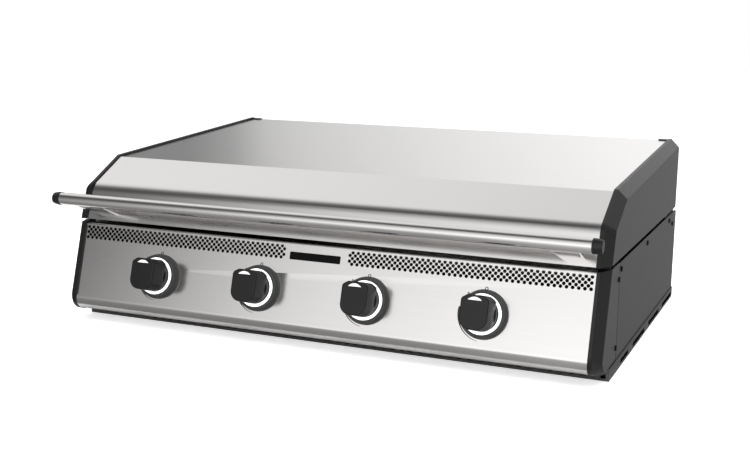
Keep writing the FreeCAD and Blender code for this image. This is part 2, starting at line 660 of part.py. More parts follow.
def cap_sketches(body, rim, rim_rounds, edge, edge_rounds, closed):
    """A cast end cap: flat rim, then a bevel to the outer face, hollow and open towards the sheet.

    closed says for each side whether the wall runs along it.
    """
    inner = ["-cap_wall" if wall else "cap_wall" for wall in closed]
    hollow = offset_line(rim, inner)
    hollow_edge = offset_line(edge, inner)
    hollow_rounds = [r and "max(%s - cap_wall; 0.5)" % r for r in rim_rounds]
    hollow_edge_rounds = [r and "max(%s - cap_wall; 0.5)" % r for r in edge_rounds]

    def drawn(offset, corners, rounds):
        sketch = new_sketch(body, "YZ", offset)
        outline(sketch, [c if not r else (c[0], c[1], r) for c, r in zip(corners, rounds)])
        return sketch

    pad(body, drawn("cap_edge", rim, rim_rounds), "cap_rim")
    loft(
        body,
        "AdditiveLoft",
        drawn("cap_edge + cap_rim", rim, rim_rounds),
        drawn("half_width", edge, edge_rounds),
    )
    pocket(body, drawn("cap_edge", hollow, hollow_rounds), "cap_rim", back=True)
    loft(
        body,
        "SubtractiveLoft",
        drawn("cap_edge + cap_rim", hollow, hollow_rounds),
        drawn("half_width - cap_wall", hollow_edge, hollow_edge_rounds),
    )


# End caps of the control panel: black castings whose side runs back to the side panel
right_end = new_body("panel_cap_right")
end_line = [
    (panel_y("base_height"), "base_height"),
    ("-seam", "base_height"),
    ("-seam", "body_top"),
    (panel_y("body_top"), "body_top"),
]
end_rim = offset_line(end_line, ["0", "0", "0", "cap_proud"])
end_edge = offset_line(end_line, ["0", "0", "0", "-cap_inset"])
cap_sketches(
    right_end,
    end_rim,
    ["panel_roll + cap_proud", None, None, None],
    end_edge,
    ["panel_roll - cap_inset + cap_round", None, None, None],
    [True, True, True, True],
)
left_end = mirrored(right_end, "panel_cap_left")

# Firebox: firewall with the burner and spark holes, two side walls and a rear wall, each with a ledge
firewall = new_body("firewall")
wall_line = new_sketch(firewall, "YZ")
outline(wall_line, [
    ("-firebox_front", "sheet"),
    ("-firebox_front + sheet", "sheet"),
    ("-firebox_front + sheet", "firebox_top - sheet"),
    ("-firebox_front + firebox_ledge", "firebox_top - sheet"),
    ("-firebox_front + firebox_ledge", "firebox_top"),
    ("-firebox_front", "firebox_top"),
])
pad(firewall, wall_line, "2 * firebox_side", both=True)
wall_holes = new_sketch(firewall, "XZ", "firebox_front + sheet")
for across in KNOBS:
    circle(wall_holes, across, "burner_level", "burner_throat + fit_gap")
    circle(wall_holes, across + " + spark_place", "burner_level + spark_rise", "spark_radius + run_gap")
pocket(firewall, wall_holes, "4 * sheet")

fire_rear = new_body("firebox_rear_wall")
rear_wall_line = new_sketch(fire_rear, "YZ")
outline(rear_wall_line, [
    ("firebox_rear - sheet", "sheet"),
    ("firebox_rear", "sheet"),
    ("firebox_rear", "firebox_top"),
    ("firebox_rear - firebox_ledge", "firebox_top"),
    ("firebox_rear - firebox_ledge", "firebox_top - sheet"),
    ("firebox_rear - sheet", "firebox_top - sheet"),
])
pad(fire_rear, rear_wall_line, "2 * firebox_side", both=True)

fire_right = new_body("firebox_wall_right")
fire_side_line = new_sketch(fire_right, "XZ", "firebox_front - firebox_ledge")
outline(fire_side_line, [
    ("firebox_side - sheet", "sheet"),
    ("firebox_side", "sheet"),
    ("firebox_side", "firebox_top"),
    ("firebox_side - firebox_ledge", "firebox_top"),
    ("firebox_side - firebox_ledge", "firebox_top - sheet"),
    ("firebox_side - sheet", "firebox_top - sheet"),
])
pad(fire_right, fire_side_line, "firebox_front + firebox_rear - 2 * firebox_ledge", back=True)
fire_left = mirrored(fire_right, "firebox_wall_left")

# Pads on the side ledges that carry the griddle plate level
levellers = new_body("plate_levellers", compound=True)
leveller_line = new_sketch(levellers, "XY", "firebox_top")
leveller_front = "-(firebox_front - firebox_ledge - leveller_inset)"
leveller_rear = "firebox_rear - firebox_ledge - leveller_inset"
for side in ("-1", "1"):
    across = side + " * (firebox_side - firebox_ledge / 2)"
    for depth in (leveller_front, leveller_rear):
        circle(leveller_line, across, depth, "leveller_radius")
pad(levellers, leveller_line, "leveller_height")

# Heat shield: flat sheet welded in between the four firebox walls, under the burners
shield = new_body("heat_shield")
shield_line = new_sketch(shield, "YZ")
box(shield_line, "-firebox_front + sheet", "firebox_rear - sheet", "shield_level - sheet", "shield_level")
pad(shield, shield_line, "2 * (firebox_side - sheet)", both=True)

# Griddle plate: thick steel floor, a rim that is low in front and rises at the sides, and a grease slot
plate = new_body("griddle_plate")
plate_line = new_sketch(plate, "XY", "plate_level - plate_floor")
outline(plate_line, [
    ("-plate_width / 2", "-plate_front", "plate_corner"),
    ("plate_width / 2", "-plate_front", "plate_corner"),
    ("plate_width / 2", "plate_back", "plate_corner_rear"),
    ("-plate_width / 2", "plate_back", "plate_corner_rear"),
])
pad(plate, plate_line, "plate_floor + splash_height")
plate_inside = new_sketch(plate, "XY", "plate_level + splash_height")
inside = "plate_width / 2 - plate_wall"
outline(plate_inside, [
    ("-(%s)" % inside, "-plate_front + plate_wall", "plate_corner - plate_wall"),
    (inside, "-plate_front + plate_wall", "plate_corner - plate_wall"),
    (inside, "plate_back - plate_wall", "plate_corner_rear - plate_wall"),
    ("-(%s)" % inside, "plate_back - plate_wall", "plate_corner_rear - plate_wall"),
])
pocket(plate, plate_inside, "splash_height")
plate_slope = new_sketch(plate, "YZ")
outline(plate_slope, [
    ("-plate_front - plate_wall", "plate_level + lip_height"),
    ("-splash_front", "plate_level + lip_height"),
    ("-splash_front + splash_run", "plate_level + splash_height + plate_wall"),
    ("-plate_front - plate_wall", "plate_level + splash_height + plate_wall"),
])
pocket(plate, plate_slope, "plate_width + 2 * plate_wall", both=True)
plate_drain = new_sketch(plate, "XY", "plate_level")
drain_back = "plate_back - plate_wall - drain_margin"
outline(plate_drain, [
    ("-drain_width / 2", drain_back + " - drain_depth", "drain_round"),
    ("drain_width / 2", drain_back + " - drain_depth", "drain_round"),
    ("drain_width / 2", drain_back, "drain_round"),
    ("-drain_width / 2", drain_back, "drain_round"),
])
pocket(plate, plate_drain, "2 * plate_floor")

# Four straight burners: mixing mouth, throat through the firewall, tube with side ports and an end tab
for number, across in enumerate(KNOBS, start=1):
    burner = new_body("burner_%d" % number)
    mouth = "jet_y + burner_start"
    throat = "-firebox_front - throat_lead"
    swell = "-firebox_front + throat_run"
    burner_line = new_sketch(burner, "YZ")
    outline(burner_line, [
        (mouth, "burner_mouth - burner_wall"),
        (throat, "burner_throat - burner_wall"),
        (swell, "burner_throat - burner_wall"),
        ("burner_tube", "burner_radius - burner_wall"),
        ("burner_rear - burner_wall", "burner_radius - burner_wall"),
        ("burner_rear - burner_wall", "0"),
        ("burner_rear", "0"),
        ("burner_rear", "burner_radius"),
        ("burner_tube", "burner_radius"),
        (swell, "burner_throat"),
        (throat, "burner_throat"),
        (mouth, "burner_mouth"),
    ])
    revolve(burner, burner_line, "H_Axis")
    tab_line = new_sketch(burner, "YZ")
    box(tab_line, "burner_rear - 2 * burner_wall", "burner_rear + burner_tab",
        "-burner_radius", "-burner_radius + 2 * burner_wall")
    pad(burner, tab_line, "burner_radius", both=True)
    port_line = new_sketch(burner, "YZ")
    box(port_line, "port_start", "port_start + port_length", "port_height", "2 * port_height")
    ports = pocket(burner, port_line, "3 * burner_radius", both=True)
    row_of(burner, ports, port_line, "H_Axis", "port_pitch", "port_count")
    place(burner, across, "0", "burner_level")

# Angle rail between the firebox walls that carries the burners' tabs
rail = new_body("burner_rail")
rail_line = new_sketch(rail, "YZ")
rail_top = "burner_level - burner_radius"
outline(rail_line, [
    ("burner_rear", rail_top),
    ("burner_rear", rail_top + " - sheet"),
    ("burner_rear + rail_depth - sheet", rail_top + " - sheet"),
    ("burner_rear + rail_depth - sheet", rail_top + " - rail_height"),
    ("burner_rear + rail_depth", rail_top + " - rail_height"),
    ("burner_rear + rail_depth", rail_top),
])
pad(rail, rail_line, "2 * (firebox_side - sheet)", both=True)

# Square gas manifold under the valves, closed at its left end
manifold = new_body("gas_manifold")
manifold_line = new_sketch(manifold, "YZ", "-manifold_half")
half_tube = "manifold_size / 2"
box(manifold_line, "valve_y - " + half_tube, "valve_y + " + half_tube,
    "manifold_level - " + half_tube, "manifold_level + " + half_tube)
pad(manifold, manifold_line, "2 * manifold_half")
manifold_bore = new_sketch(manifold, "YZ", "manifold_half")
half_bore = "(manifold_size / 2 - manifold_wall)"
box(manifold_bore, "valve_y - " + half_bore, "valve_y + " + half_bore,
    "manifold_level - " + half_bore, "manifold_level + " + half_bore)
pocket(manifold, manifold_bore, "2 * manifold_half - manifold_wall")

# Gas pipe: from the manifold's right end round to the back, with the flange that closes the manifold
pipe = new_body("gas_pipe")
pipe_end = new_sketch(pipe, "YZ", "manifold_half")
box(pipe_end, "valve_y - " + half_tube, "valve_y + " + half_tube,
    "manifold_level - " + half_tube, "manifold_level + " + half_tube)
pad(pipe, pipe_end, "manifold_wall")
pipe_round = new_sketch(pipe, "YZ", "manifold_half + manifold_wall")
circle(pipe_round, "valve_y", "manifold_level", "pipe_radius")
circle(pipe_round, "valve_y", "manifold_level", "pipe_radius - pipe_wall")
pipe_path = new_sketch(pipe, "XY", "manifold_level")
turn_x = "pipe_place - pipe_bend"
turn_y = "valve_y + pipe_bend"
path_points = [
    ("manifold_half + manifold_wall", "valve_y"),
    (turn_x, "valve_y"),
    ("pipe_place", turn_y),
    ("pipe_place", "body_rear - nut_length"),
]
spots = [FreeCAD.Vector(value(x), value(y), 0) for x, y in path_points]
bend_centre = FreeCAD.Vector(value(turn_x), value(turn_y), 0)
bend_middle = bend_centre + FreeCAD.Vector(1, -1, 0).normalize() * value("pipe_bend")
first_run = pipe_path.addGeometry(Part.LineSegment(spots[0], spots[1]))
bend_arc = pipe_path.addGeometry(Part.Arc(spots[1], bend_middle, spots[2]))
last_run = pipe_path.addGeometry(Part.LineSegment(spots[2], spots[3]))
pipe_path.addConstraint(Sketcher.Constraint("Tangent", first_run, 2, bend_arc, 1))
pipe_path.addConstraint(Sketcher.Constraint("Tangent", bend_arc, 2, last_run, 1))
bind(pipe_path, Sketcher.Constraint("Radius", bend_arc, value("pipe_bend")), "pipe_bend")
pin_point(pipe_path, first_run, 1, *path_points[0])
pin_point(pipe_path, last_run, 2, *path_points[3])
pipe_path.addConstraint(Sketcher.Constraint("Horizontal", first_run))
pipe_path.addConstraint(Sketcher.Constraint("Vertical", last_run))
pipe_run = pipe.newObject("PartDesign::AdditivePipe", "gas_pipe_run")
pipe_run.Profile = pipe_round
pipe_run.Spine = (pipe_path, ["Edge1", "Edge2", "Edge3"])

# Gas fitting: hexagon against the rear panel and a male end behind it
fitting = new_body("gas_inlet")
nut_line = new_sketch(fitting, "XZ", "-(body_rear - nut_length)")
hexagon = []
for corner in range(6):
    hexagon.append((
        "pipe_place + nut_radius * cos(%d)" % (60 * corner),
        "manifold_level + nut_radius * sin(%d)" % (60 * corner),
    ))
outline(nut_line, hexagon)
pad(fitting, nut_line, "nut_length", back=True)
neck_line = new_sketch(fitting, "XZ", "-body_rear")
circle(neck_line, "pipe_place", "manifold_level", "pipe_radius")
pad(fitting, neck_line, "sheet", back=True)
thread_line = new_sketch(fitting, "XZ", "-(body_rear + sheet)")
circle(thread_line, "pipe_place", "manifold_level", "thread_radius")
pad(fitting, thread_line, "thread_length", back=True)
bore_line = new_sketch(fitting, "XZ", "-(body_rear + sheet + thread_length)")
circle(bore_line, "pipe_place", "manifold_level", "pipe_radius - pipe_wall")
pocket(fitting, bore_line, "thread_length + nut_length + 2 * sheet", back=True)

# Four gas valves on the manifold: barrel square to the panel, outlet with its jet pointing into the burner
valves = []
for across in KNOBS:
    valve = doc.addObject("PartDesign::Body", "gas_valve")
    valves.append(valve)
    barrel = new_sketch(valve, "XZ")
    back_end = "-valve_depth - valve_half"
    front_end = "-valve_depth + valve_half"
    bore = "plug_radius + run_gap"
    outline(barrel, [
        ("0", back_end),
        ("valve_radius", back_end),
        ("valve_radius", front_end),
        ("valve_neck", front_end),
        ("valve_neck", front_end + " + valve_neck_length"),
        ("stem_radius + stem_gap", front_end + " + valve_neck_length"),
        ("stem_radius + stem_gap", front_end + " - valve_floor / 2"),
        (bore, front_end + " - valve_floor / 2"),
        (bore, back_end + " + valve_floor"),
        ("0", back_end + " + valve_floor"),
    ])
    revolve(valve, barrel, "V_Axis")
    outlet = "(valve_half / cos(panel_lean) - valve_floor * 0.2)"
    outlet_rise = "%s * sin(panel_lean)" % outlet
    outlet_depth = "-valve_depth - %s * cos(panel_lean)" % outlet
    spout = new_sketch(valve, "XY", outlet_depth, outlet_rise, "180 + panel_lean")
    circle(spout, "0", "0", "spout_radius")
    pad(valve, spout, "spout_reach - " + outlet)
    jet = new_sketch(valve, "XY", "-valve_depth - spout_reach * cos(panel_lean)",
                     "spout_reach * sin(panel_lean)", "180 + panel_lean")
    circle(jet, "0", "0", "jet_radius")
    pad(valve, jet, "jet_length")
    inlet = "(valve_radius - valve_floor / 4)"
    branch = new_sketch(valve, "XY", "-valve_depth - %s * sin(panel_lean)" % inlet,
                        "-%s * cos(panel_lean)" % inlet, "90 + panel_lean")
    circle(branch, "0", "0", "inlet_radius")
    pad(valve, branch, "manifold_drop - manifold_size / 2 - " + inlet)
    place(valve, across, "knob_y", "knob_level", "knob_tilt")
group_of("gas_valves", valves)

# Spark electrodes: ceramic rods with a collar on the firewall, one beside each burner
sparks = new_body("spark_electrodes", compound=True)
rod_line = new_sketch(sparks, "XZ", "firebox_front")
for across in KNOBS:
    circle(rod_line, across + " + spark_place", "burner_level + spark_rise", "spark_radius")
pad(sparks, rod_line, "spark_length", back=True)
tail_line = new_sketch(sparks, "XZ", "firebox_front")
for across in KNOBS:
    circle(tail_line, across + " + spark_place", "burner_level + spark_rise", "spark_radius")
pad(sparks, tail_line, "spark_tail")
collar_line = new_sketch(sparks, "XZ", "firebox_front")
for across in KNOBS:
    circle(collar_line, across + " + spark_place", "burner_level + spark_rise", "spark_collar")
pad(sparks, collar_line, "spark_collar_length")

# Spark module: small closed box on the firewall, between the middle valves
module = new_body("spark_module")
module_line = new_sketch(module, "XZ", "firebox_front")
outline(module_line, [
    ("-module_width / 2", "module_level", "module_corner"),
    ("module_width / 2", "module_level", "module_corner"),
    ("module_width / 2", "module_level + module_height", "module_corner"),
    ("-module_width / 2", "module_level + module_height", "module_corner"),
])
pad(module, module_line, "module_depth")

# Knob bezels and the light rings let into them
bezels = []
rings = []
for across in KNOBS:
    bezel = doc.addObject("PartDesign::Body", "bezel_turned")
    bezel_line = new_sketch(bezel, "XZ")
    outline(bezel_line, [
        ("ring_inner", "0"),
        ("bezel_radius", "0"),
        ("bezel_radius", "bezel_height / 4"),
        ("bezel_radius - bezel_draft", "bezel_height"),
        ("ring_outer", "bezel_height"),
        ("ring_outer", "ring_seat"),
        ("ring_inner", "ring_seat"),
    ])
    revolve(bezel, bezel_line, "V_Axis")
    place(bezel, across, "knob_y", "knob_level", "knob_tilt")
    bezels.append(bezel)
    ring = doc.addObject("PartDesign::Body", "ring_turned")
    ring_line = new_sketch(ring, "XZ")
    outline(ring_line, [
        ("ring_inner", "ring_seat"),
        ("ring_outer", "ring_seat"),
        ("ring_outer", "ring_seat + ring_height - ring_bevel"),
        ("ring_outer - ring_bevel", "ring_seat + ring_height"),
        ("ring_inner + ring_bevel", "ring_seat + ring_height"),
        ("ring_inner", "ring_seat + ring_height - ring_bevel"),
    ])
    revolve(ring, ring_line, "V_Axis")
    place(ring, across, "knob_y", "knob_level", "knob_tilt")
    rings.append(ring)
group_of("knob_bezels", bezels)
group_of("light_rings", rings)

# Knobs with their stems and pointer windows, and the plugs that they turn
for number, across in enumerate(KNOBS, start=1):
    knob = new_body("knob_%d" % number)
    foot = new_sketch(knob, "XY", "skirt_start")
    circle(foot, "0", "0", "skirt_radius")
    pad(knob, foot, "skirt_height")
    grip = new_sketch(knob, "XY", "skirt_start + skirt_height")
    side = "grip_width / 2"
    outline(grip, [
        ("-" + side, "-grip_height / 2", side + " - 0.01"),
        (side, "-grip_height / 2", side + " - 0.01"),
        (side, "grip_height / 2", "grip_corner"),
        ("-" + side, "grip_height / 2", "grip_corner"),
    ])
    pad(knob, grip, "grip_front - skirt_start - skirt_height")
    bevel_edges(
        knob,
        lambda edge: edge.BoundBox.ZMin > value("grip_front") - 0.01,
        "grip_edge",
    )
    window = [
        ("-pointer_width / 2", "grip_height / 2 - pointer_top - pointer_height"),
        ("pointer_width / 2", "grip_height / 2 - pointer_top - pointer_height"),
        ("pointer_crown / 2", "grip_height / 2 - pointer_top", "pointer_height / 2"),
        ("-pointer_crown / 2", "grip_height / 2 - pointer_top", "pointer_height / 2"),
    ]
    window_cut = new_sketch(knob, "XY", "grip_front")
    outline(window_cut, window)
    pocket(knob, window_cut, "pointer_sink")
    stem_bore = new_sketch(knob, "XY", "skirt_start")
    circle(stem_bore, "0", "0", "stem_radius")
    pocket(knob, stem_bore, "stem_seat", back=True)
    place(knob, across, "knob_y", "knob_level", "knob_tilt")

    pointer = new_body("knob_pointer_%d" % number)
    window_fill = new_sketch(pointer, "XY", "grip_front - pointer_sink")
    outline(window_fill, window)
    pad(pointer, window_fill, "pointer_sink")
    place(pointer, across, "knob_y", "knob_level", "knob_tilt")

    stem = new_body("valve_stem_%d" % number)
    stem_line = new_sketch(stem, "XY", "skirt_start + stem_seat")
    circle(stem_line, "0", "0", "stem_radius")
    pad(stem, stem_line, "skirt_start + stem_seat + valve_depth", back=True)
    place(stem, across, "knob_y", "knob_level", "knob_tilt")

    plug = new_body("valve_plug_%d" % number)
    plug_line = new_sketch(plug, "XZ")
    plug_back = "-valve_depth - valve_half + valve_floor + run_gap"
    plug_front = "-valve_depth + valve_half - valve_floor / 2 - run_gap"
    slide = "stem_radius + run_gap"
    outline(plug_line, [
        ("0", plug_back),
        ("plug_radius", plug_back),
        ("plug_radius", plug_front),
        (slide, plug_front),
        (slide, "-valve_depth - push - fit_gap"),
        ("0", "-valve_depth - push - fit_gap"),
    ])
    revolve(plug, plug_line, "V_Axis")
    place(plug, across, "knob_y", "knob_level", "knob_tilt")

# Hood shell: one stainless sheet bent over the front, top and back, with a hem along its lower front edge
hood_line = [
    ("-hood_front", "hood_bottom"),
    ("hood_back", "hood_bottom"),
    ("hood_back", "back_level"),
    ("-crest_front", "crest_level"),
    ("-knee_front", "knee_level"),
]
hood_rounds = [None, None, "back_bend", "crest_bend", "hood_bend"]
hood = new_body("hood_shell")
hood_side = new_sketch(hood, "YZ")
outline(hood_side, [c if not r else (c[0], c[1], r) for c, r in zip(hood_line, hood_rounds)])
pad(hood, hood_side, "2 * cap_edge", both=True)
shell(
    hood,
    lambda face: abs(face.normalAt(0, 0).x) > 0.99 or near(face.CenterOfMass.z, "hood_bottom"),
    "skin",
)
hem_line = new_sketch(hood, "YZ")
box(hem_line, "-hood_front + skin / 2", "-hood_front + hem", "hood_bottom", "hood_bottom + skin")
pad(hood, hem_line, "2 * cap_edge", both=True)

# End caps of the hood: black castings with a bevel all round and a lip along the hood's rear edge
right_cap = new_body("hood_cap_right")
proud = ["0", "cap_back", "cap_proud", "cap_proud", "cap_proud"]
inset = ["0", "cap_back", "-cap_inset", "-cap_inset", "-cap_inset"]
cap_sketches(
    right_cap,
    offset_line(hood_line, proud),
    [None, None, "back_bend + cap_proud", "crest_bend + cap_proud", "hood_bend + cap_proud"],
    offset_line(hood_line, inset),
    [None, None, "cap_round", "cap_round", "cap_round"],
    [False, True, True, True, True],
)
lip_line = new_sketch(right_cap, "YZ", "cap_edge")
lip_top = offset_line(hood_line, ["0", "cap_back", "cap_back", "0", "0"])[2]
lip_back = "hood_back"
outline(lip_line, [
    (lip_back, "hood_bottom"),
    (lip_back + " + cap_back", "hood_bottom"),
    (lip_top[0], lip_top[1], "back_bend + cap_back"),
    (lip_back + " - back_bend - rear_lip_depth", "back_level + cap_back - (back_bend + rear_lip_depth) * "
     "(back_level - crest_level) / (hood_back + crest_front)"),
    (lip_back + " - back_bend - rear_lip_depth", "back_level - (back_bend + rear_lip_depth) * "
     "(back_level - crest_level) / (hood_back + crest_front)"),
    (lip_back, "back_level", "back_bend"),
])
pad(right_cap, lip_line, "rear_lip", back=True)
web_line = new_sketch(right_cap, "XY", "hood_bottom")
box(web_line, "cap_edge + cap_wall", "half_width - cap_wall / 2",
    "-bumper_front - web_depth / 2", "-bumper_front + web_depth / 2")
pad(right_cap, web_line, "cap_wall")
left_cap = mirrored(right_cap, "hood_cap_left")

# Handle: stainless tube, end caps plugged into it, and two stamped brackets on the hood
handle = new_body("handle_tube")
handle_line = new_sketch(handle, "YZ")
circle(handle_line, "-handle_front", "handle_level", "tube_diameter / 2")
circle(handle_line, "-handle_front", "handle_level", "tube_diameter / 2 - tube_wall")
pad(handle, handle_line, "2 * tube_half", both=True)

right_grip = doc.addObject("PartDesign::Body", "grip_cap_turned")
grip_line = new_sketch(right_grip, "XY")
outline(grip_line, [
    ("tube_half - grip_plug", "0"),
    ("tube_half + grip_cap_length", "0"),
    ("tube_half + grip_cap_length", "grip_cap / 2 - grip_cap_bevel"),
    ("tube_half + grip_cap_length - grip_cap_bevel", "grip_cap / 2"),
    ("tube_half", "grip_cap / 2"),
    ("tube_half", "tube_diameter / 2 - tube_wall"),
    ("tube_half - grip_plug", "tube_diameter / 2 - tube_wall"),
])
revolve(right_grip, grip_line, "H_Axis")
place(right_grip, "0", "-handle_front", "handle_level")
left_grip = doc.addObject("Part::Mirroring", "grip_cap_mirrored")
left_grip.Source = right_grip
left_grip.Normal = FreeCAD.Vector(1, 0, 0)
group_of("handle_end_caps", [right_grip, left_grip])


def hood_face_y(level):
    """Depth of the hood's lower front face at a height."""
    lean = "(hood_front - knee_front) / (knee_level - hood_bottom)"
    return "-hood_front + ((%s) - hood_bottom) * %s" % (level, lean)


right_arm = new_body("handle_bracket_right")
arm_line = new_sketch(right_arm, "YZ", "arm_place - arm_width / 2")
arm_reach = "-handle_front + tube_diameter / 2 * cos(45)"
arm_corners = [
    ("-handle_front", "handle_level - tube_diameter / 2 - arm_sheet"),
    (hood_face_y("arm_foot"), "arm_foot"),
    (hood_face_y("arm_head"), "arm_head"),
    (arm_reach, "handle_level"),
    ("-handle_front", "handle_level"),
]
outline(arm_line, arm_corners)
pad(right_arm, arm_line, "arm_width")
arm_hollow = new_sketch(right_arm, "YZ", "arm_place - arm_width / 2 + arm_sheet")
arm_walls = ["-arm_sheet", "-arm_sheet", "arm_sheet", "arm_sheet", "arm_sheet"]
outline(arm_hollow, offset_line(arm_corners, arm_walls))
pocket(right_arm, arm_hollow, "arm_width - 2 * arm_sheet", back=True)
arm_saddle = new_sketch(right_arm, "YZ", "arm_place - arm_width / 2")
circle(arm_saddle, "-handle_front", "handle_level", "tube_diameter / 2")
pocket(right_arm, arm_saddle, "arm_width", back=True)
left_arm = mirrored(right_arm, "handle_bracket_left")

# Hood hinges: a plate with a pin on each side panel and an arm on each hood cap
right_hinge = new_body("hinge_bracket_right")
hinge_outer = "half_width - sheet - hinge_post"
bracket_line = new_sketch(right_hinge, "YZ", hinge_outer)
hinge_top = "body_top - hinge_drop"
SCREWS_HINGE = (
    ("pivot_y - post_far", "body_top - post_far_drop"),
    ("pivot_y - post_near", "body_top - post_near_drop"),
)
outline(bracket_line, [
    ("pivot_y - hinge_reach", hinge_top + " - hinge_height", "hinge_corner"),
    ("pivot_y + pivot_ear", hinge_top + " - hinge_height", "hinge_corner"),
    ("pivot_y + pivot_ear", "pivot_level + pivot_ear", "pivot_ear - 0.05"),
    ("pivot_y - pivot_ear", "pivot_level + pivot_ear", "pivot_ear - 0.05"),
    ("pivot_y - pivot_ear", hinge_top),
    ("pivot_y - hinge_reach", hinge_top, "hinge_corner"),
])
pad(right_hinge, bracket_line, "hinge_plate", back=True)
post_line = new_sketch(right_hinge, "YZ", hinge_outer)
for depth, level in SCREWS_HINGE:
    circle(post_line, depth, level, "hinge_post_radius")
pad(right_hinge, post_line, "hinge_post")
pin_line = new_sketch(right_hinge, "YZ", hinge_outer)
circle(pin_line, "pivot_y", "pivot_level", "pivot_pin")
pad(right_hinge, pin_line, "2 * hinge_plate + 2 * hinge_gap + sheet", back=True)
left_hinge = mirrored(right_hinge, "hinge_bracket_left")

right_leaf = doc.addObject("PartDesign::Body", "hinge_arm_cut")
leaf_outer = hinge_outer + " - hinge_plate - hinge_gap"
leaf_line = new_sketch(right_leaf, "YZ", leaf_outer)
leaf_rear = "hood_back - leaf_gap"
outline(leaf_line, [
    ("pivot_y - pivot_ear", "pivot_level - pivot_ear", "pivot_ear - 0.05"),
    ("pivot_y + pivot_ear", "pivot_level - pivot_ear", "pivot_ear - 0.05"),
    ("pivot_y + pivot_ear * 0.9", "pivot_level + pivot_ear * 0.4"),
    (leaf_rear, "hood_bottom - fit_gap"),
    (leaf_rear, "hood_bottom + leaf_top", "leaf_corner"),
    ("pivot_y - leaf_reach", "hood_bottom + leaf_top", "leaf_corner"),
    ("pivot_y - leaf_reach", "hood_bottom + leaf_low", "leaf_corner"),
    ("pivot_y - 3 * pivot_ear", "hood_bottom + leaf_neck"),
])
pad(right_leaf, leaf_line, "hinge_plate", back=True)
leaf_post = new_sketch(right_leaf, "YZ", leaf_outer)
for depth in ("pivot_y - leaf_post_far", "pivot_y - leaf_post_near"):
    circle(leaf_post, depth, "hood_bottom + leaf_post_rise", "hinge_post_radius")
pad(right_leaf, leaf_post, "half_width - cap_wall - run_gap - (%s)" % leaf_outer)
leaf_bore = new_sketch(right_leaf, "YZ", leaf_outer)
circle(leaf_bore, "pivot_y", "pivot_level", "pivot_pin + run_gap")
pocket(right_leaf, leaf_bore, "3 * hinge_plate", both=True)
left_leaf = doc.addObject("Part::Mirroring", "hinge_arm_mirrored")
left_leaf.Source = right_leaf
left_leaf.Normal = FreeCAD.Vector(1, 0, 0)
group_of("hood_hinge_arms", [right_leaf, left_leaf])

# Rubber bumpers on the end caps of the control panel, under the hood's front corners
bumpers = new_body("hood_bumpers", compound=True)
bumper_line = new_sketch(bumpers, "XY", "body_top")
for side in ("-1", "1"):
    circle(bumper_line, side + " * (half_width - bumper_side)", "-bumper_front", "bumper_radius")
pad(bumpers, bumper_line, "hood_bottom - body_top - fit_gap")

# Grease cup behind the firebox: it slides out through the rear panel, on a shelf between the two
shelf = new_body("grease_shelf")
shelf_line = new_sketch(shelf, "XZ", "-firebox_rear")
outline(shelf_line, [
    ("-cup_side - fit_gap - sheet", "cup_level - fit_gap - sheet"),
    ("cup_side + fit_gap + sheet", "cup_level - fit_gap - sheet"),
    ("cup_side + fit_gap + sheet", "cup_level + shelf_lip"),
    ("cup_side + fit_gap", "cup_level + shelf_lip"),
    ("cup_side + fit_gap", "cup_level - fit_gap"),
    ("-cup_side - fit_gap", "cup_level - fit_gap"),
    ("-cup_side - fit_gap", "cup_level + shelf_lip"),
    ("-cup_side - fit_gap - sheet", "cup_level + shelf_lip"),
])
pad(shelf, shelf_line, "body_rear - firebox_rear", back=True)

cup = new_body("grease_cup")
cup_line = new_sketch(cup, "XY", "cup_level")
box(cup_line, "-cup_side", "cup_side", "cup_face_y - cup_depth", "cup_face_y")
pad(cup, cup_line, "cup_height")
cup_hollow = new_sketch(cup, "XY", "cup_level + cup_height")
box(cup_hollow, "-cup_side + cup_wall", "cup_side - cup_wall",
    "cup_face_y - cup_depth + cup_wall", "cup_face_y - cup_wall")
pocket(cup, cup_hollow, "cup_height - cup_wall")
face_line = new_sketch(cup, "XZ", "-cup_face_y")
box(face_line, "-cup_side - cup_face", "cup_side + cup_face",
    "cup_level - cup_face", "cup_level + cup_height + cup_face")
pad(cup, face_line, "cup_wall", back=True)
pull_line = new_sketch(cup, "YZ")
pull_top = "cup_level + cup_height + cup_face"
box(pull_line, "cup_face_y", "cup_face_y + cup_pull", pull_top + " - cup_wall", pull_top)
pad(cup, pull_line, "cup_width / 2", both=True)

# Screw heads on the two sides of the body
screws = new_body("side_screws", compound=True)
screw_line = new_sketch(screws, "YZ", "half_width")
SCREWS = SCREWS_HINGE + (
    ("-screw_middle", "body_top - screw_drop"),
    ("-seam + screw_inset", "body_top - screw_drop"),
    ("-seam - cap_screw_top_inset", "body_top - cap_screw_top"),
    ("-seam - cap_screw_low_inset", "base_height + cap_screw_low"),
)
for depth, level in SCREWS:
    circle(screw_line, depth, level, "screw_radius")
screw_heads = pad(screws, screw_line, "screw_head")
screw_twins = screws.newObject("PartDesign::Mirrored", "screw_twins")
screw_twins.Originals = [screw_heads]
middle = [f for f in screws.Origin.OriginFeatures if f.Role == "YZ_Plane"]
screw_twins.MirrorPlane = (middle[0], [""])
screws.Tip = screw_twins

doc.recompute()
for thing in doc.Objects:
    if "Invalid" in thing.State or "Error" in thing.State:
        raise RuntimeError("%s failed: %s" % (thing.Label, thing.State))
for piece in sub_parts:
    if piece.Shape.isNull() or not piece.Shape.isValid():
        raise RuntimeError("%s has no sound shape" % piece.Label)
os.makedirs("parts", exist_ok=True)
for piece in sub_parts:
    piece.Shape.exportStep("parts/%s.step" % piece.Label)
    print("%-24s solids %2d  volume %12.1f" % (piece.Label, len(piece.Shape.Solids), piece.Shape.Volume))
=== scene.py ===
import math
import bmesh
import bpy
from mathutils import Matrix, Vector


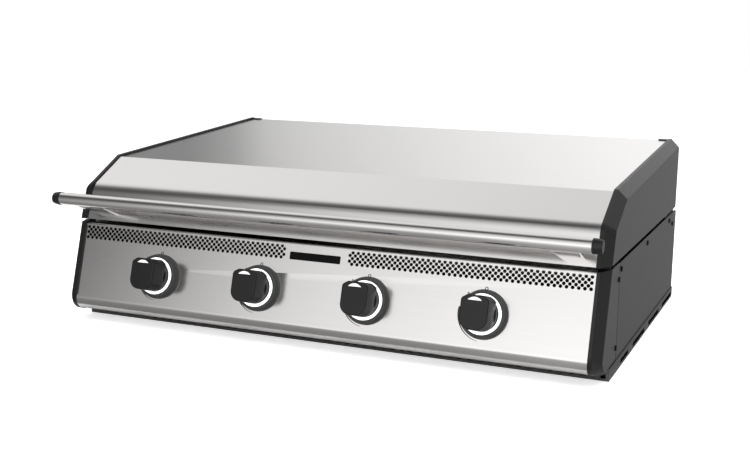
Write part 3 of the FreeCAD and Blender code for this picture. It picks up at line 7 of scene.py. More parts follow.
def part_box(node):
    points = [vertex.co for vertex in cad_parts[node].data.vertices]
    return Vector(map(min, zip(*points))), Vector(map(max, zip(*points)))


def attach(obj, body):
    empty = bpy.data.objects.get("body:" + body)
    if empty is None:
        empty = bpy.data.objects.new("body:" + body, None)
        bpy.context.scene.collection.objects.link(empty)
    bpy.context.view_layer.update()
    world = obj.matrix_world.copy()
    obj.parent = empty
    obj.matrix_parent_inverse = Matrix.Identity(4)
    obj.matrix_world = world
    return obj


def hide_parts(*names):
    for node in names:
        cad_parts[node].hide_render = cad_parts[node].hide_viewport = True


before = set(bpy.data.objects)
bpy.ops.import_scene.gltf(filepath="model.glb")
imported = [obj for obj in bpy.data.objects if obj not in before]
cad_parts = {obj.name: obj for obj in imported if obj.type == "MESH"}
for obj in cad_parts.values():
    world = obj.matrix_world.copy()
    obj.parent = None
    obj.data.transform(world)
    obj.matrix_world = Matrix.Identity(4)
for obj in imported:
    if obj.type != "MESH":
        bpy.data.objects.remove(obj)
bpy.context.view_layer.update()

# Base tray
# The pan under the body is folded from steel sheet, with punched air slots and square air holes. It is powder
# coated black, and everything else is screwed to it.


def linear(code):
    """Linear colour of an sRGB hex value."""
    parts = [int(code[k:k + 2], 16) / 255 for k in (1, 3, 5)]
    return tuple(p / 12.92 if p <= 0.04045 else ((p + 0.055) / 1.055) ** 2.4 for p in parts) + (1.0,)


def blank(name):
    """A new material with an empty node tree."""
    material = bpy.data.materials.new(name)
    material.use_nodes = True
    material.node_tree.nodes.clear()
    return material, material.node_tree


def add_node(tree, kind, inputs=(), **settings):
    """Add a shader node with its settings; an input is a plain value or another node's output."""
    node = tree.nodes.new("ShaderNode" + kind)
    for name, setting in settings.items():
        setattr(node, name, setting)
    for name, source in dict(inputs).items():
        if isinstance(source, bpy.types.NodeSocket):
            tree.links.new(source, node.inputs[name])
        else:
            node.inputs[name].default_value = source
    return node


def finish(name, cloud, tones, gloss, shader, grain=None, bump=None, fade=None):
    """A finish whose tone varies in clouds, and its gloss with the grain, or else with the clouds.

    cloud and grain are (size in millimetres, detail), and bump is (strength, depth in metres). A fade
    (axis, start, end, colour) takes the tone over to a colour along an axis, in metres.
    """
    material, tree = blank(name)
    place = add_node(tree, "TexCoord").outputs["Object"]
    noises = [add_node(tree, "TexNoise", {"Vector": place, "Scale": 1000 / size, "Detail": detail}).outputs["Fac"]
              for size, detail in filter(None, (cloud, grain))]
    tone = add_node(tree, "Mix", {0: noises[0], 6: linear(tones[0]), 7: linear(tones[1])}, data_type="RGBA").outputs[2]
    if fade:
        axis, start, end, colour = fade
        along = add_node(tree, "SeparateXYZ", {"Vector": place}).outputs[axis]
        share = add_node(tree, "MapRange", {"Value": along, "From Min": start, "From Max": end}).outputs[0]
        tone = add_node(tree, "Mix", {0: share, 6: tone, 7: linear(colour)}, data_type="RGBA").outputs[2]
    inputs = {"Base Color": tone, "Roughness": gloss, **shader}
    if isinstance(gloss, tuple):
        spread = {"Value": noises[-1], "To Min": gloss[0], "To Max": gloss[1]}
        inputs["Roughness"] = add_node(tree, "MapRange", spread).outputs[0]
    if bump:
        relief = {"Height": noises[-1], "Strength": bump[0], "Distance": bump[1]}
        inputs["Normal"] = add_node(tree, "Bump", relief).outputs[0]
    skin = add_node(tree, "BsdfPrincipled", inputs)
    add_node(tree, "OutputMaterial", {"Surface": skin.outputs[0]})
    return material


def coat(material, *nodes):
    """Give pieces of the frame their finish."""
    for node in nodes:
        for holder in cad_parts[node].material_slots:
            holder.material = material


# Black powder coat: baked paint with a fine orange peel, satin, a little uneven in gloss.
# The peel of about 0.5 mm is drawn 1.8 mm wide, so that it shows at this distance.
black_paint = {"IOR": 1.5, "Specular IOR Level": 0.34}
powder_coat = finish("black_powder_coat", (120, 2.0), ("#111111", "#171716"), (0.36, 0.5), black_paint,
                     grain=(1.8, 3.0), bump=(0.12, 0.0002))

# Painted light: the same paint on the base, its front face painted paler as if lit, with clouds of 30 mm.
lit_face_depth = 0.001
base_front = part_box("base_tray")[0].y
front_lit_coat = finish("front_lit_powder_coat", (30, 2.0), ("#111111", "#171716"), (0.36, 0.5), black_paint,
                    grain=(1.8, 3.0), bump=(0.12, 0.0002), fade=("Y", base_front + lit_face_depth, base_front, "#484746"))
coat(front_lit_coat, "base_tray")

# Side panels and rear panel
# Folded steel pans with flanges at the edges and air slots in line with those of the base, powder coated with it. The
# rear panel has air slots, the window of the grease cup and the hole of the gas fitting.
MM = 0.001
crease = 30
weld = 1e-6
side_sheet = 1.5
side_flange = 15.0
side_cut = 6.0
side_slots = ((-222.0, -145.0), (-118.0, 2.0), (29.0, 149.0), (176.0, 292.0))
slot_low = 3.0
slot_high = 17.0
seam_gap = 1.2
side_low, side_high = (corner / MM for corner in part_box("side_panel_right"))
seam_y = side_low.y + seam_gap / 2
body_top = side_high.z
body_half = side_high.x


def between(loops, closed=True, ends=(True, True)):
    """Points and faces of a skin through loops of equally many points, with flat ends where asked."""
    count = len(loops[0])
    points = [point for loop in loops for point in loop]
    faces = []
    for k in range(len(loops) - 1):
        for j in range(count if closed else count - 1):
            a = k * count + j
            b = k * count + (j + 1) % count
            faces.append((a, b, b + count, a + count))
    if ends[0]:
        faces.append(tuple(range(count)))
    if ends[1]:
        faces.append(tuple(range(len(points) - count, len(points))))
    return points, faces


def joined(*skins):
    """Several skins as one."""
    points = []
    faces = []
    for more_points, more_faces in skins:
        start = len(points)
        points.extend(more_points)
        faces.extend(tuple(start + index for index in face) for face in more_faces)
    return points, faces


def across(outline, *stations):
    """The same (y, z) outline at several places along X."""
    return [[Vector((x, point[0], point[1])) for point in outline] for x in stations]


def placed(skin, matrix):
    """A skin moved by a matrix in millimetres."""
    return [matrix @ Vector(point) for point in skin[0]], skin[1]


def new_piece(name, skin, material):
    """A mesh piece from points in millimetres, with its normals outwards and its sharp edges kept."""
    mesh = bpy.data.meshes.new(name)
    mesh.from_pydata([Vector(point) * MM for point in skin[0]], [], skin[1])
    work = bmesh.new()
    work.from_mesh(mesh)
    bmesh.ops.remove_doubles(work, verts=work.verts, dist=weld)
    bmesh.ops.recalc_face_normals(work, faces=work.faces)
    work.to_mesh(mesh)
    work.free()
    mesh.shade_smooth()
    mesh.set_sharp_from_angle(angle=math.radians(crease))
    mesh.materials.append(material)
    piece = bpy.data.objects.new(name, mesh)
    bpy.context.scene.collection.objects.link(piece)
    return piece


def punched(name, outlines, thick):
    """A flat sheet inside the first outline with the others as holes, its front on the plane z = 0."""
    curve = bpy.data.curves.new(name, "CURVE")
    curve.dimensions = "2D"
    curve.fill_mode = "BOTH"
    curve.extrude = thick / 2
    for corners in outlines:
        line = curve.splines.new("POLY")
        line.points.add(len(corners) - 1)
        line.use_cyclic_u = True
        for point, corner in zip(line.points, corners):
            point.co = (corner[0], corner[1], 0, 1)
    holder = bpy.data.objects.new(name, curve)
    flat = bpy.data.meshes.new_from_object(holder)
    skin = ([v.co - Vector((0, 0, thick / 2)) for v in flat.vertices], [tuple(p.vertices) for p in flat.polygons])
    bpy.data.objects.remove(holder)
    bpy.data.curves.remove(curve)
    bpy.data.meshes.remove(flat)
    return skin


def oblong(left, right, low, high):
    """Corners of an upright oblong."""
    return [Vector(corner) for corner in ((left, low), (right, low), (right, high), (left, high))]


side_line = oblong(seam_y, side_high.y, side_low.z, body_top)
side_line[2:3] = [Vector((side_high.y, body_top - side_cut)), Vector((side_high.y - side_cut, body_top))]
slot_lines = [oblong(front, back, slot_low, slot_high) for front, back in side_slots]
side_skin = punched("side_face", [side_line] + slot_lines, side_sheet)
outwards = Matrix(((0, 0, 1, body_half), (1, 0, 0, 0), (0, 1, 0, 0), (0, 0, 0, 1)))
flange_lines = (
    oblong(seam_y, side_high.y, side_low.z, side_low.z + side_sheet),
    oblong(seam_y, seam_y + side_sheet, side_low.z, body_top),
    oblong(side_high.y - side_sheet, side_high.y, side_low.z, body_top - side_cut),
)
flange_skins = [between(across(line, body_half - side_flange, body_half - side_sheet / 2)) for line in flange_lines]
for side, word in ((-1, "left"), (1, "right")):
    handed = Matrix.Scale(side, 4, (1, 0, 0))
    skin = placed(joined(placed(side_skin, outwards), *flange_skins), handed)
    side_pan = new_piece("side_pan_" + word, skin, powder_coat)
    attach(side_pan, "chassis")
    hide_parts("side_panel_" + word)
coat(powder_coat, "rear_panel")

# Firebox
# Rear wall and side walls with folded ledges, the pads that level the plate, the heat shield and the shelf of the
# grease cup, of aluminised steel sheet, spot welded together. The firewall behind the vents is painted black, with a
# band of painted light in grey along its top.

# Aluminised steel: hot-dipped sheet with a dull spangle of about 9 mm and a little soot.
aluminised, tree = blank("aluminised_steel")
place = add_node(tree, "TexCoord").outputs["Object"]
spangle = add_node(tree, "TexVoronoi", {"Vector": place, "Scale": 1000 / 9}).outputs["Color"]
soot = add_node(tree, "TexNoise", {"Vector": place, "Scale": 1000 / 70, "Detail": 4.0}).outputs["Fac"]
facet = add_node(tree, "RGBToBW", {"Color": spangle}).outputs[0]
bright = add_node(tree, "Mix", {0: facet, 6: linear("#8d9194"), 7: linear("#b4b7b9")}, data_type="RGBA").outputs[2]
dirt = add_node(tree, "MapRange", {"Value": soot, "From Min": 0.5, "From Max": 0.75, "To Max": 0.5}).outputs[0]
tone = add_node(tree, "Mix", {0: dirt, 6: bright, 7: linear("#4b4845")}, data_type="RGBA").outputs[2]
gloss = add_node(tree, "MapRange", {"Value": facet, "To Min": 0.38, "To Max": 0.52}).outputs[0]
metal = add_node(tree, "BsdfPrincipled", {"Base Color": tone, "Roughness": gloss, "Metallic": 1.0})
add_node(tree, "OutputMaterial", {"Surface": metal.outputs[0]})
coat(aluminised, "firebox_rear_wall", "firebox_wall_left", "firebox_wall_right", "plate_levellers", "heat_shield",
     "grease_shelf", "burner_rail")

# Firewall coat: black paint, with painted light along the top edge: a grey band in clouds of 40 mm.
lit_band_low = 0.169
lit_band_high = 0.173
lit_band_coat = finish("lit_band_powder_coat", (40, 3.0), ("#565452", "#666462"), 0.5, black_paint,
                  fade=("Z", lit_band_high, lit_band_low, "#111111"))
coat(lit_band_coat, "firewall")

# Burners
# Four straight tubes of stainless steel with slots along both sides, swaged down where they pass the firewall.

# Heat-tinted stainless steel: drawn tube, straw to brown where it has been hot, in clouds of about 60 mm.
hot_steel, tree = blank("heat_tinted_stainless")
place = add_node(tree, "TexCoord").outputs["Object"]
cloud = add_node(tree, "TexNoise", {"Vector": place, "Scale": 1000 / 60, "Detail": 3.0}).outputs["Fac"]
warm = add_node(tree, "MapRange", {"Value": cloud, "From Min": 0.35, "From Max": 0.7}).outputs[0]
tone = add_node(tree, "Mix", {0: warm, 6: linear("#a8a39c"), 7: linear("#8a7458")}, data_type="RGBA").outputs[2]
gloss = add_node(tree, "MapRange", {"Value": cloud, "To Min": 0.3, "To Max": 0.45}).outputs[0]
metal = add_node(tree, "BsdfPrincipled", {"Base Color": tone, "Roughness": gloss, "Metallic": 1.0})
add_node(tree, "OutputMaterial", {"Surface": metal.outputs[0]})
coat(hot_steel, "burner_1", "burner_2", "burner_3", "burner_4")

# Gas line
# Square manifold and bent pipe of zinc-plated steel, with the fitting, the valves and their plugs of turned brass,
# and the plated steel stems that carry the knobs.

# Zinc-plated steel: bright grey with a faint bluish cast and stains of about 25 mm.
plated = finish("zinc_plated_steel", (25, 4.0), ("#9fa4a8", "#c3c6c7"), (0.28, 0.42), {"Metallic": 1.0})
coat(plated, "gas_manifold", "gas_pipe", *["valve_stem_%d" % k for k in range(1, 5)])

# Brass: turned, with fine tool marks drawn 0.8 mm apart and a slightly dulled surface.
brass = finish("turned_brass", (18, 3.0), ("#b8924a", "#d5b56c"), (0.2, 0.38), {"Metallic": 1.0},
               grain=(0.8, 2.0))
coat(brass, "gas_inlet", "gas_valves", *["valve_plug_%d" % k for k in range(1, 5)])

# Spark electrodes and module
# Ceramic rods clamped in the firewall beside the burners, and a moulded box that makes the spark.

# Glazed alumina: off-white with a clear glaze and specks of about 2 mm.
ceramic = finish("glazed_alumina", (2, 2.0), ("#ddd7c8", "#efebe0"), (0.12, 0.24), {"IOR": 1.6})
coat(ceramic, "spark_electrodes")

# Black ABS: moulded with a fine spark-eroded grain, drawn 0.9 mm wide, that scatters the light evenly.
dark_plastic = {"IOR": 1.53, "Specular IOR Level": 0.33}
black_abs = finish("black_moulded_abs", (22, 2.0), ("#0e0e0e", "#131313"), (0.34, 0.48), dark_plastic,
                   grain=(0.9, 2.0), bump=(0.1, 0.0001))
coat(black_abs, "spark_module")

# Control panel
# One stainless sheet that leans back, rolled under at the bottom and folded back at the top, with a hole for each
# knob and two bands of small round vent holes punched in five staggered rows.
panel_lean = math.radians(16.5)
panel_top_y = -330.3
panel_top_z = 175.4
panel_roll = 19.5
panel_bend = 3.0
panel_shelf = 28.0
panel_skin = 1.2
hole_skin = 0.8
panel_foot_y = -299.5
panel_lift = 4.3
panel_hold = 2.0
soften_angle = 25
knob_level = 97.4
knob_places = (-295.05, -98.35, 98.35, 295.05)
knob_hole = 14.0
hole_sides = 48
vent_radius = 2.9
vent_sides = 16
vent_pitch = 9.3
vent_start = 64.5
vent_count = 43
vent_rows = 5
vent_level = 168.8
panel_low, panel_high = (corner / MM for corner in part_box("control_panel"))
panel_half = panel_high.x
knob_y = panel_top_y - (panel_top_z - knob_level) * math.tan(panel_lean)
panel_frame = Matrix.Translation((0, knob_y, knob_level)) @ Matrix.Rotation(math.pi / 2 - panel_lean, 4, "X")


def bent(corners, turn=3.0, hold=1.5):
    """Points of a closed outline; a corner (a, b, radius) is rounded in steps of about turn degrees.

    A point on each straight, hold away from a bend, keeps the flat faces flat in the shading.
    """
    points = []
    for k, corner in enumerate(corners):
        here = Vector(corner[:2])
        if len(corner) == 2:
            points.append(here)
            continue
        before = (Vector(corners[k - 1][:2]) - here).normalized()
        after = (Vector(corners[(k + 1) % len(corners)][:2]) - here).normalized()
        half = before.angle(after) / 2
        middle = here + (before + after).normalized() * corner[2] / math.sin(half)
        run = corner[2] / math.tan(half)
        first = here + before * run - middle
        sweep = math.pi - 2 * half
        side = -1 if before.x * after.y - before.y * after.x > 0 else 1
        steps = max(2, math.ceil(math.degrees(sweep) / turn))
        points.append(here + before * (run + hold))
        for step in range(steps + 1):
            points.append(middle + Matrix.Rotation(side * sweep * step / steps, 2) @ first)
        points.append(here + after * (run + hold))
    return points


def soften(piece, width, segments=3):
    """Round the piece's edges a little, as any made edge is."""
    edge = piece.modifiers.new("edge", "BEVEL")
    edge.width = width * MM
    edge.segments = segments
    edge.limit_method = "ANGLE"
    edge.angle_limit = math.radians(soften_angle)
    edge.harden_normals = True


def sheet_outline(path, thick):
    """Closed outline of a bent sheet: the path, and the path moved to its right by the thickness."""
    inner = []
    for k, point in enumerate(path):
        along = (path[min(k + 1, len(path) - 1)] - path[max(k - 1, 0)]).normalized()
        inner.append(point + Vector((along.y, -along.x)) * thick)
    return path + inner[::-1]


def ring_line(centre, radius, sides):
    """Points of a circle."""
    angles = [2 * math.pi * k / sides for k in range(sides)]
    return [Vector((centre[0] + radius * math.cos(a), centre[1] + radius * math.sin(a))) for a in angles]


def on_panel(z):
    """Height on the panel's own plane of a level above the ground."""
    return (z - knob_level) / math.cos(panel_lean)


# Stainless steel: sheet brushed from end to end, so it mirrors softly; the scratches, really about 0.1 mm wide, are
# drawn 1.4 mm wide and 160 mm long so that they just show.
stainless, tree = blank("brushed_stainless")
place = add_node(tree, "TexCoord").outputs["Object"]
brush_size = (1000 / 160, 1000 / 1.4, 1000 / 1.4)
brushed = add_node(tree, "Mapping", {"Vector": place, "Scale": brush_size}).outputs[0]
streak = add_node(tree, "TexNoise", {"Vector": brushed, "Scale": 1.0, "Detail": 4.0}).outputs["Fac"]
tone = add_node(tree, "Mix", {0: streak, 6: linear("#d3d1d0"), 7: linear("#dad8d7")}, data_type="RGBA").outputs[2]
gloss = add_node(tree, "MapRange", {"Value": streak, "To Min": 0.14, "To Max": 0.2}).outputs[0]
bump = add_node(tree, "Bump", {"Height": streak, "Strength": 0.03, "Distance": 0.0001}).outputs[0]
metal = add_node(tree, "BsdfPrincipled", {"Base Color": tone, "Roughness": gloss, "Normal": bump, "Metallic": 1.0})
add_node(tree, "OutputMaterial", {"Surface": metal.outputs[0]})

panel_foot_z = panel_low.z + panel_lift
panel_corner_y = panel_top_y - (panel_top_z - panel_foot_z) * math.tan(panel_lean)
panel_line = bent([
    (panel_foot_y, panel_foot_z),
    (panel_corner_y, panel_foot_z, panel_roll),
    (panel_top_y, panel_top_z, panel_bend),
    (panel_top_y + panel_shelf, panel_top_z),
], hold=panel_hold)
levels = [point.y for point in panel_line]
face_gap = max(range(1, len(levels)), key=lambda k: levels[k] - levels[k - 1])
roll_skin = between(across(sheet_outline(panel_line[:face_gap], -panel_skin), -panel_half, panel_half))
fold_skin = between(across(sheet_outline(panel_line[face_gap:], -panel_skin), -panel_half, panel_half))
face_low = on_panel(levels[face_gap - 1])
face_high = on_panel(levels[face_gap])
face_lines = [oblong(-panel_half, panel_half, face_low, face_high)]
face_lines += [ring_line((x, 0), knob_hole, hole_sides) for x in knob_places]
for row in range(vent_rows):
    start = vent_start - (row % 2) * vent_pitch / 2
    height = on_panel(vent_level) - row * vent_pitch / 2
    for step in range(vent_count):
        for side in (-1, 1):
            face_lines.append(ring_line((side * (start + step * vent_pitch), height), vent_radius, vent_sides))
face_skin = punched("panel_face", face_lines, hole_skin)
panel = new_piece("control_panel_sheet", joined(placed(face_skin, panel_frame), roll_skin, fold_skin), stainless)
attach(panel, "chassis")
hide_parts("control_panel")

# End caps of the control panel
# Hollow aluminium castings, satin black: a flat rim stands proud of the sheet, then a broad bevel runs to the side,
# which goes back to the side panel, with its front foot cut off. They are screwed on from inside.
cap_rims = {"left": 9.8, "right": 6.3}
cap_proud = 3.0
cap_inset = 19.4
cap_round = 6.0
end_roll = 25.0
end_cut = 16.0
end_soft = 1.2


def moved(corners, moves):
    """Move each side of a closed outline outwards by its own distance and return the new corners."""
    count = len(corners)
    normals = []
    for k in range(count):
        along = (Vector(corners[(k + 1) % count]) - Vector(corners[k])).normalized()
        normals.append(Vector((along.y, -along.x)))
    result = []
    for k in range(count):
        a, b = normals[k - 1], normals[k]
        p, q = moves[k - 1], moves[k]
        cross = a.x * b.y - a.y * b.x
        shift = Vector(((p * b.y - q * a.y) / cross, (q * a.x - p * b.x) / cross))
        result.append(Vector(corners[k]) + shift)
    return result


def with_rounds(corners, rounds):
    """Corners with their radii, for a bent outline."""
    return [(c.x, c.y, r) if r else (c.x, c.y) for c, r in zip(corners, rounds)]


# Satin black casting: die-cast aluminium under smooth black paint, with a slight unevenness of about 5 mm.
black_casting = finish("satin_black_casting", (80, 2.0), ("#101010", "#151515"), (0.36, 0.46), black_paint,
                       grain=(5, 3.0), bump=(0.06, 0.0003))

end_foot_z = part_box("panel_cap_right")[0].z / MM
end_corners = [
    (panel_top_y - (panel_top_z - end_foot_z) * math.tan(panel_lean), end_foot_z),
    (seam_y - seam_gap, end_foot_z),
    (seam_y - seam_gap, body_top),
    (panel_top_y + (body_top - panel_top_z) * math.tan(panel_lean), body_top),
]
end_rim = bent(with_rounds(moved(end_corners, (0, 0, 0, cap_proud)), (end_roll + cap_proud, 0, 0, 0)))
end_edge = bent(with_rounds(moved(end_corners, (0, 0, 0, -cap_inset)), (end_cut, 0, 0, 0)))
cut_last = len(end_edge) - len(end_corners)
cut_ends = Vector(end_edge[0]), Vector(end_edge[cut_last])
for step in range(cut_last + 1):
    end_edge[step] = cut_ends[0].lerp(cut_ends[1], step / cut_last)
for side, word in ((-1, "left"), (1, "right")):
    rim_end = panel_half + cap_rims[word]
    loops = across(end_rim, side * panel_half, side * rim_end) + across(end_edge, side * body_half)
    end_cap = new_piece("end_cap_" + word, between(loops), black_casting)
    soften(end_cap, end_soft)
    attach(end_cap, "chassis")
    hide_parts("panel_cap_" + word)

# Knob bezels and light rings
# A moulded charcoal bezel is clipped into the panel round each knob, and a clear white ring in it is lit from behind.
bezel_radius = 38.9
bezel_face = 36.5
bezel_height = 13.0
ring_outer = 31.8
ring_inner = 27.0
ring_seat = 9.5
ring_top = 14.0
ring_round = 1.8


def turned(profile, steps=72):
    """Skin of a closed (radius, height) profile turned about the Z axis."""
    loops = []
    for point in list(profile) + [profile[0]]:
        angles = [2 * math.pi * k / steps for k in range(steps)]
        loops.append([Vector((point[0] * math.cos(a), point[0] * math.sin(a), point[1])) for a in angles])
    return between(loops, ends=(False, False))


def at_knob(x):
    """Frame of a knob: X to the right, Y up the panel and Z out of it."""
    return Matrix.Translation((x, 0, 0)) @ panel_frame


# Lit acrylic: frosted white plastic lit by lamps behind it, a little brighter every 12 mm where a lamp sits.
lit_acrylic, tree = blank("lit_frosted_acrylic")
place = add_node(tree, "TexCoord").outputs["Object"]
lamps = add_node(tree, "TexNoise", {"Vector": place, "Scale": 1000 / 12, "Detail": 1.0}).outputs["Fac"]
glow = add_node(tree, "Mix", {0: lamps, 6: linear("#f2f4f6"), 7: linear("#ffffff")}, data_type="RGBA").outputs[2]
acrylic = add_node(tree, "BsdfPrincipled", {"Base Color": glow, "Roughness": 0.3, "IOR": 1.49,
                                            "Emission Color": glow, "Emission Strength": 1.0})
add_node(tree, "OutputMaterial", {"Surface": acrylic.outputs[0]})

bezel_line = bent([
    (ring_inner, 0),
    (bezel_radius, 0),
    (bezel_radius, bezel_height / 4, 2.0),
    (bezel_face, bezel_height, 1.6),
    (ring_outer, bezel_height, 0.8),
    (ring_outer, ring_seat),
    (ring_inner, ring_seat),
], turn=12, hold=0.2)
light_line = bent([
    (ring_inner, ring_seat),
    (ring_outer, ring_seat),
    (ring_outer, ring_top, ring_round),
    (ring_inner, ring_top, ring_round),
], turn=15, hold=0.2)

# Filled nylon: glass-filled moulding of the bezels, charcoal grey, matt, with a fibre mottle of about 2 mm.
filled_nylon = finish("charcoal_filled_nylon", (2, 3.0), ("#343434", "#3c3c3c"), (0.42, 0.55), dark_plastic)

bezels = new_piece("bezels", joined(*[placed(turned(bezel_line), at_knob(x)) for x in knob_places]), filled_nylon)
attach(bezels, "chassis")
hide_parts("knob_bezels")
rings = new_piece("rings", joined(*[placed(turned(light_line), at_knob(x)) for x in knob_places]), lit_acrylic)
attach(rings, "chassis")
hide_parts("light_rings")

# Marks on the panel
# Printed in dark grey beside each knob: a small ring for off, a tapering arc for the flame and a tick where it lights.
mark_lift = 0.08
off_place = on_panel(136.2)
off_outer = 2.7
off_inner = 1.5
arc_radius = 42.5
arc_width = 3.0
arc_point = 0.5
arc_start = 168.0
arc_stop = 262.0
tick_radius = 41.2
tick_angle = 133.0
tick_outer = 2.0
tick_inner = 0.7
tick_sides = 6
off_steps = 36
arc_steps = 30

# Screen print: dark grey ink, matt, a little thin in places of about 1.5 mm.
screen_ink = finish("dark_screen_print", (1.5, 2.0), ("#0c0c0c", "#1a1919"), 0.55, {"IOR": 1.5})


def band(centre, inner, outer, angles):
    """Flat strip round a centre on the panel; inner and outer give its radii along the strip."""
    edges = []
    for radius in (inner, outer):
        edges.append([
            Vector((centre[0] + radius(k / (len(angles) - 1)) * math.cos(math.radians(a)),
                    centre[1] + radius(k / (len(angles) - 1)) * math.sin(math.radians(a)), mark_lift))
            for k, a in enumerate(angles)
        ])
    return between(edges, closed=False, ends=(False, False))


def arc_foot(t):
    """Inner radius of the tapering arc along its length."""
    return arc_radius - arc_width + (arc_width - arc_point) * t


mark_skins = []
for x in knob_places:
    whole = [360 * k / off_steps for k in range(off_steps + 1)]
    sweep = [arc_start + (arc_stop - arc_start) * k / arc_steps for k in range(arc_steps + 1)]
    tick = (tick_radius * math.cos(math.radians(tick_angle)), tick_radius * math.sin(math.radians(tick_angle)))
    star = [tick_angle + 360 * k / tick_sides for k in range(tick_sides + 1)]
    mark_skins += [
        placed(band((0, off_place), lambda t: off_inner, lambda t: off_outer, whole), at_knob(x)),
        placed(band((0, 0), arc_foot, lambda t: arc_radius, sweep), at_knob(x)),
        placed(band(tick, lambda t: tick_inner, lambda t: tick_outer, star), at_knob(x)),
    ]
marks = new_piece("panel_marks", joined(*mark_skins), screen_ink)
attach(marks, "chassis")

# Blank plate
# A plain black plate is glued on between the two vent bands.
plate_length = 92.0
plate_breadth = 13.0
plate_round = 2.0
plate_thick = 0.8
plate_level = 155.0
plate_shift = -2.4
plate_soft = 0.25

# Black enamel: deep and even, with a slight ripple of about 6 mm in its gloss.
black_enamel = finish("black_enamel", (6, 2.0), ("#050505", "#090909"), (0.25, 0.35),
                      {"Specular IOR Level": 0.08})

plate_corners = oblong(-plate_length / 2, plate_length / 2, -plate_breadth / 2, plate_breadth / 2)
plate_line = bent(with_rounds(plate_corners, [plate_round] * len(plate_corners)), turn=15, hold=0.2)
plate_height = on_panel(plate_level)
plate_loops = [[Vector((p.x + plate_shift, p.y + plate_height, lift)) for p in plate_line]
               for lift in (0, plate_thick)]
blank_plate = new_piece("blank_plate", placed(between(plate_loops), panel_frame), black_enamel)
soften(blank_plate, plate_soft, segments=2)
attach(blank_plate, "chassis")

# Knobs
# Moulded black knobs pushed on the valve stems: a round foot, a tall grip with a flat top and a round bottom, and a
# white pointer window at the top of the face. Each turns with its valve and pushes in.
skirt_radius = 25.5
skirt_start = 6.0
skirt_top = 20.0
grip_half = 23.0
grip_low = -26.8
grip_high = 28.0
grip_front = 55.0
grip_foot = 18.0
grip_corner = 7.0
grip_shoulder = 6.0
grip_top = 13.0
grip_edge = 2.2
grip_draft = 0.8
grip_hold = 1.0
grip_sink = 1.0
grip_steps = 6
pointer_half = 11.0
pointer_rise = 5.0
pointer_top = 24.0
pointer_sink = 1.0
pointer_proud = 0.1
pointer_steps = 24

# White acetal: moulded pointer window, matt, with a faint milkiness of about 3 mm.
white_acetal = finish("white_acetal", (3, 2.0), ("#eceae6", "#f8f7f5"), 0.35, {"IOR": 1.48})


def grip_outline(inset):
    """Outline of the grip with its sloping shoulders, drawn in from its foot."""
    side = grip_half - inset
    low = grip_low + inset
    high = grip_high - inset
    shoulder = high - grip_shoulder
    top = grip_top - inset / 2
    foot = grip_foot - inset
    corner = grip_corner - inset
    return bent([(-side, low, foot), (side, low, foot), (side, shoulder, corner), (top, high, corner),
                 (-top, high, corner), (-side, shoulder, corner)], turn=6, hold=0.3)


foot_line = bent([
    (1.0, skirt_start),
    (skirt_radius, skirt_start, 0.8),
    (skirt_radius, skirt_top, 1.2),
    (1.0, skirt_top),
], turn=15, hold=0.2)
grip_loops = [[Vector((p.x, p.y, skirt_top - grip_sink)) for p in grip_outline(0)]]
for step in range(grip_steps + 1):
    swing = math.pi / 2 * step / grip_steps
    inset = grip_draft + grip_edge * (1 - math.cos(swing))
    lift = grip_front - grip_edge + grip_edge * math.sin(swing)
    grip_loops.append([Vector((p.x, p.y, lift)) for p in grip_outline(inset)])
grip_loops.append([Vector((p.x, p.y, grip_front)) for p in grip_outline(grip_draft + grip_edge + grip_hold)])
pointer_round = (pointer_half ** 2 + pointer_rise ** 2) / (2 * pointer_rise)
pointer_swing = math.asin(pointer_half / pointer_round)
pointer_line = []
for step in range(pointer_steps + 1):
    swing = pointer_swing * (1 - 2 * step / pointer_steps)
    pointer_line.append(Vector((pointer_round * math.sin(swing),
                                pointer_top + pointer_round * (math.cos(swing) - 1))))
pointer_loops = [[Vector((p.x, p.y, lift)) for p in pointer_line]
                 for lift in (grip_front - pointer_sink, grip_front + pointer_proud)]
knob_skin = joined(turned(foot_line), between(grip_loops))
for number, x in enumerate(knob_places, start=1):
    knob = new_piece("grip_%d" % number, placed(knob_skin, at_knob(x)), black_abs)
    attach(knob, "knob_%d" % number)
    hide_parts("knob_%d" % number)
    pointer = new_piece("pointer_%d" % number, placed(between(pointer_loops), at_knob(x)), white_acetal)
    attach(pointer, "knob_%d" % number)
    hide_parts("knob_pointer_%d" % number)

# Griddle plate
# A thick plate of carbon steel with a welded rim, seasoned with baked oil until it is black.

# Seasoned carbon steel: a brown-black skin of baked oil, glossier in clouds of about 90 mm, with fine scraper marks.
seasoned, tree = blank("seasoned_carbon_steel")
place = add_node(tree, "TexCoord").outputs["Object"]
cloud = add_node(tree, "TexNoise", {"Vector": place, "Scale": 1000 / 90, "Detail": 5.0}).outputs["Fac"]
scrape_size = (1000 / 3, 1000 / 150, 1000 / 3)
scraped = add_node(tree, "Mapping", {"Vector": place, "Scale": scrape_size}).outputs[0]
scrape = add_node(tree, "TexNoise", {"Vector": scraped, "Scale": 1.0, "Detail": 3.0}).outputs["Fac"]
tone = add_node(tree, "Mix", {0: cloud, 6: linear("#161412"), 7: linear("#2b2622")}, data_type="RGBA").outputs[2]
gloss = add_node(tree, "MapRange", {"Value": cloud, "From Min": 0.3, "From Max": 0.7, "To Min": 0.28,
                                    "To Max": 0.5}).outputs[0]
bump = add_node(tree, "Bump", {"Height": scrape, "Strength": 0.1, "Distance": 0.0002}).outputs[0]
iron = add_node(tree, "BsdfPrincipled", {"Base Color": tone, "Roughness": gloss, "Normal": bump, "IOR": 1.6})
add_node(tree, "OutputMaterial", {"Surface": iron.outputs[0]})
coat(seasoned, "griddle_plate")

# Grease cup
# Folded from stainless sheet, it slides in through the rear panel under the plate's grease slot.
coat(stainless, "grease_cup")

# Hinges
# Stamped steel plates with riveted pins on the side panels, and the arms of the hood that turn on them, zinc plated.
coat(plated, "hinge_bracket_left", "hinge_bracket_right", "hood_hinge_arms")

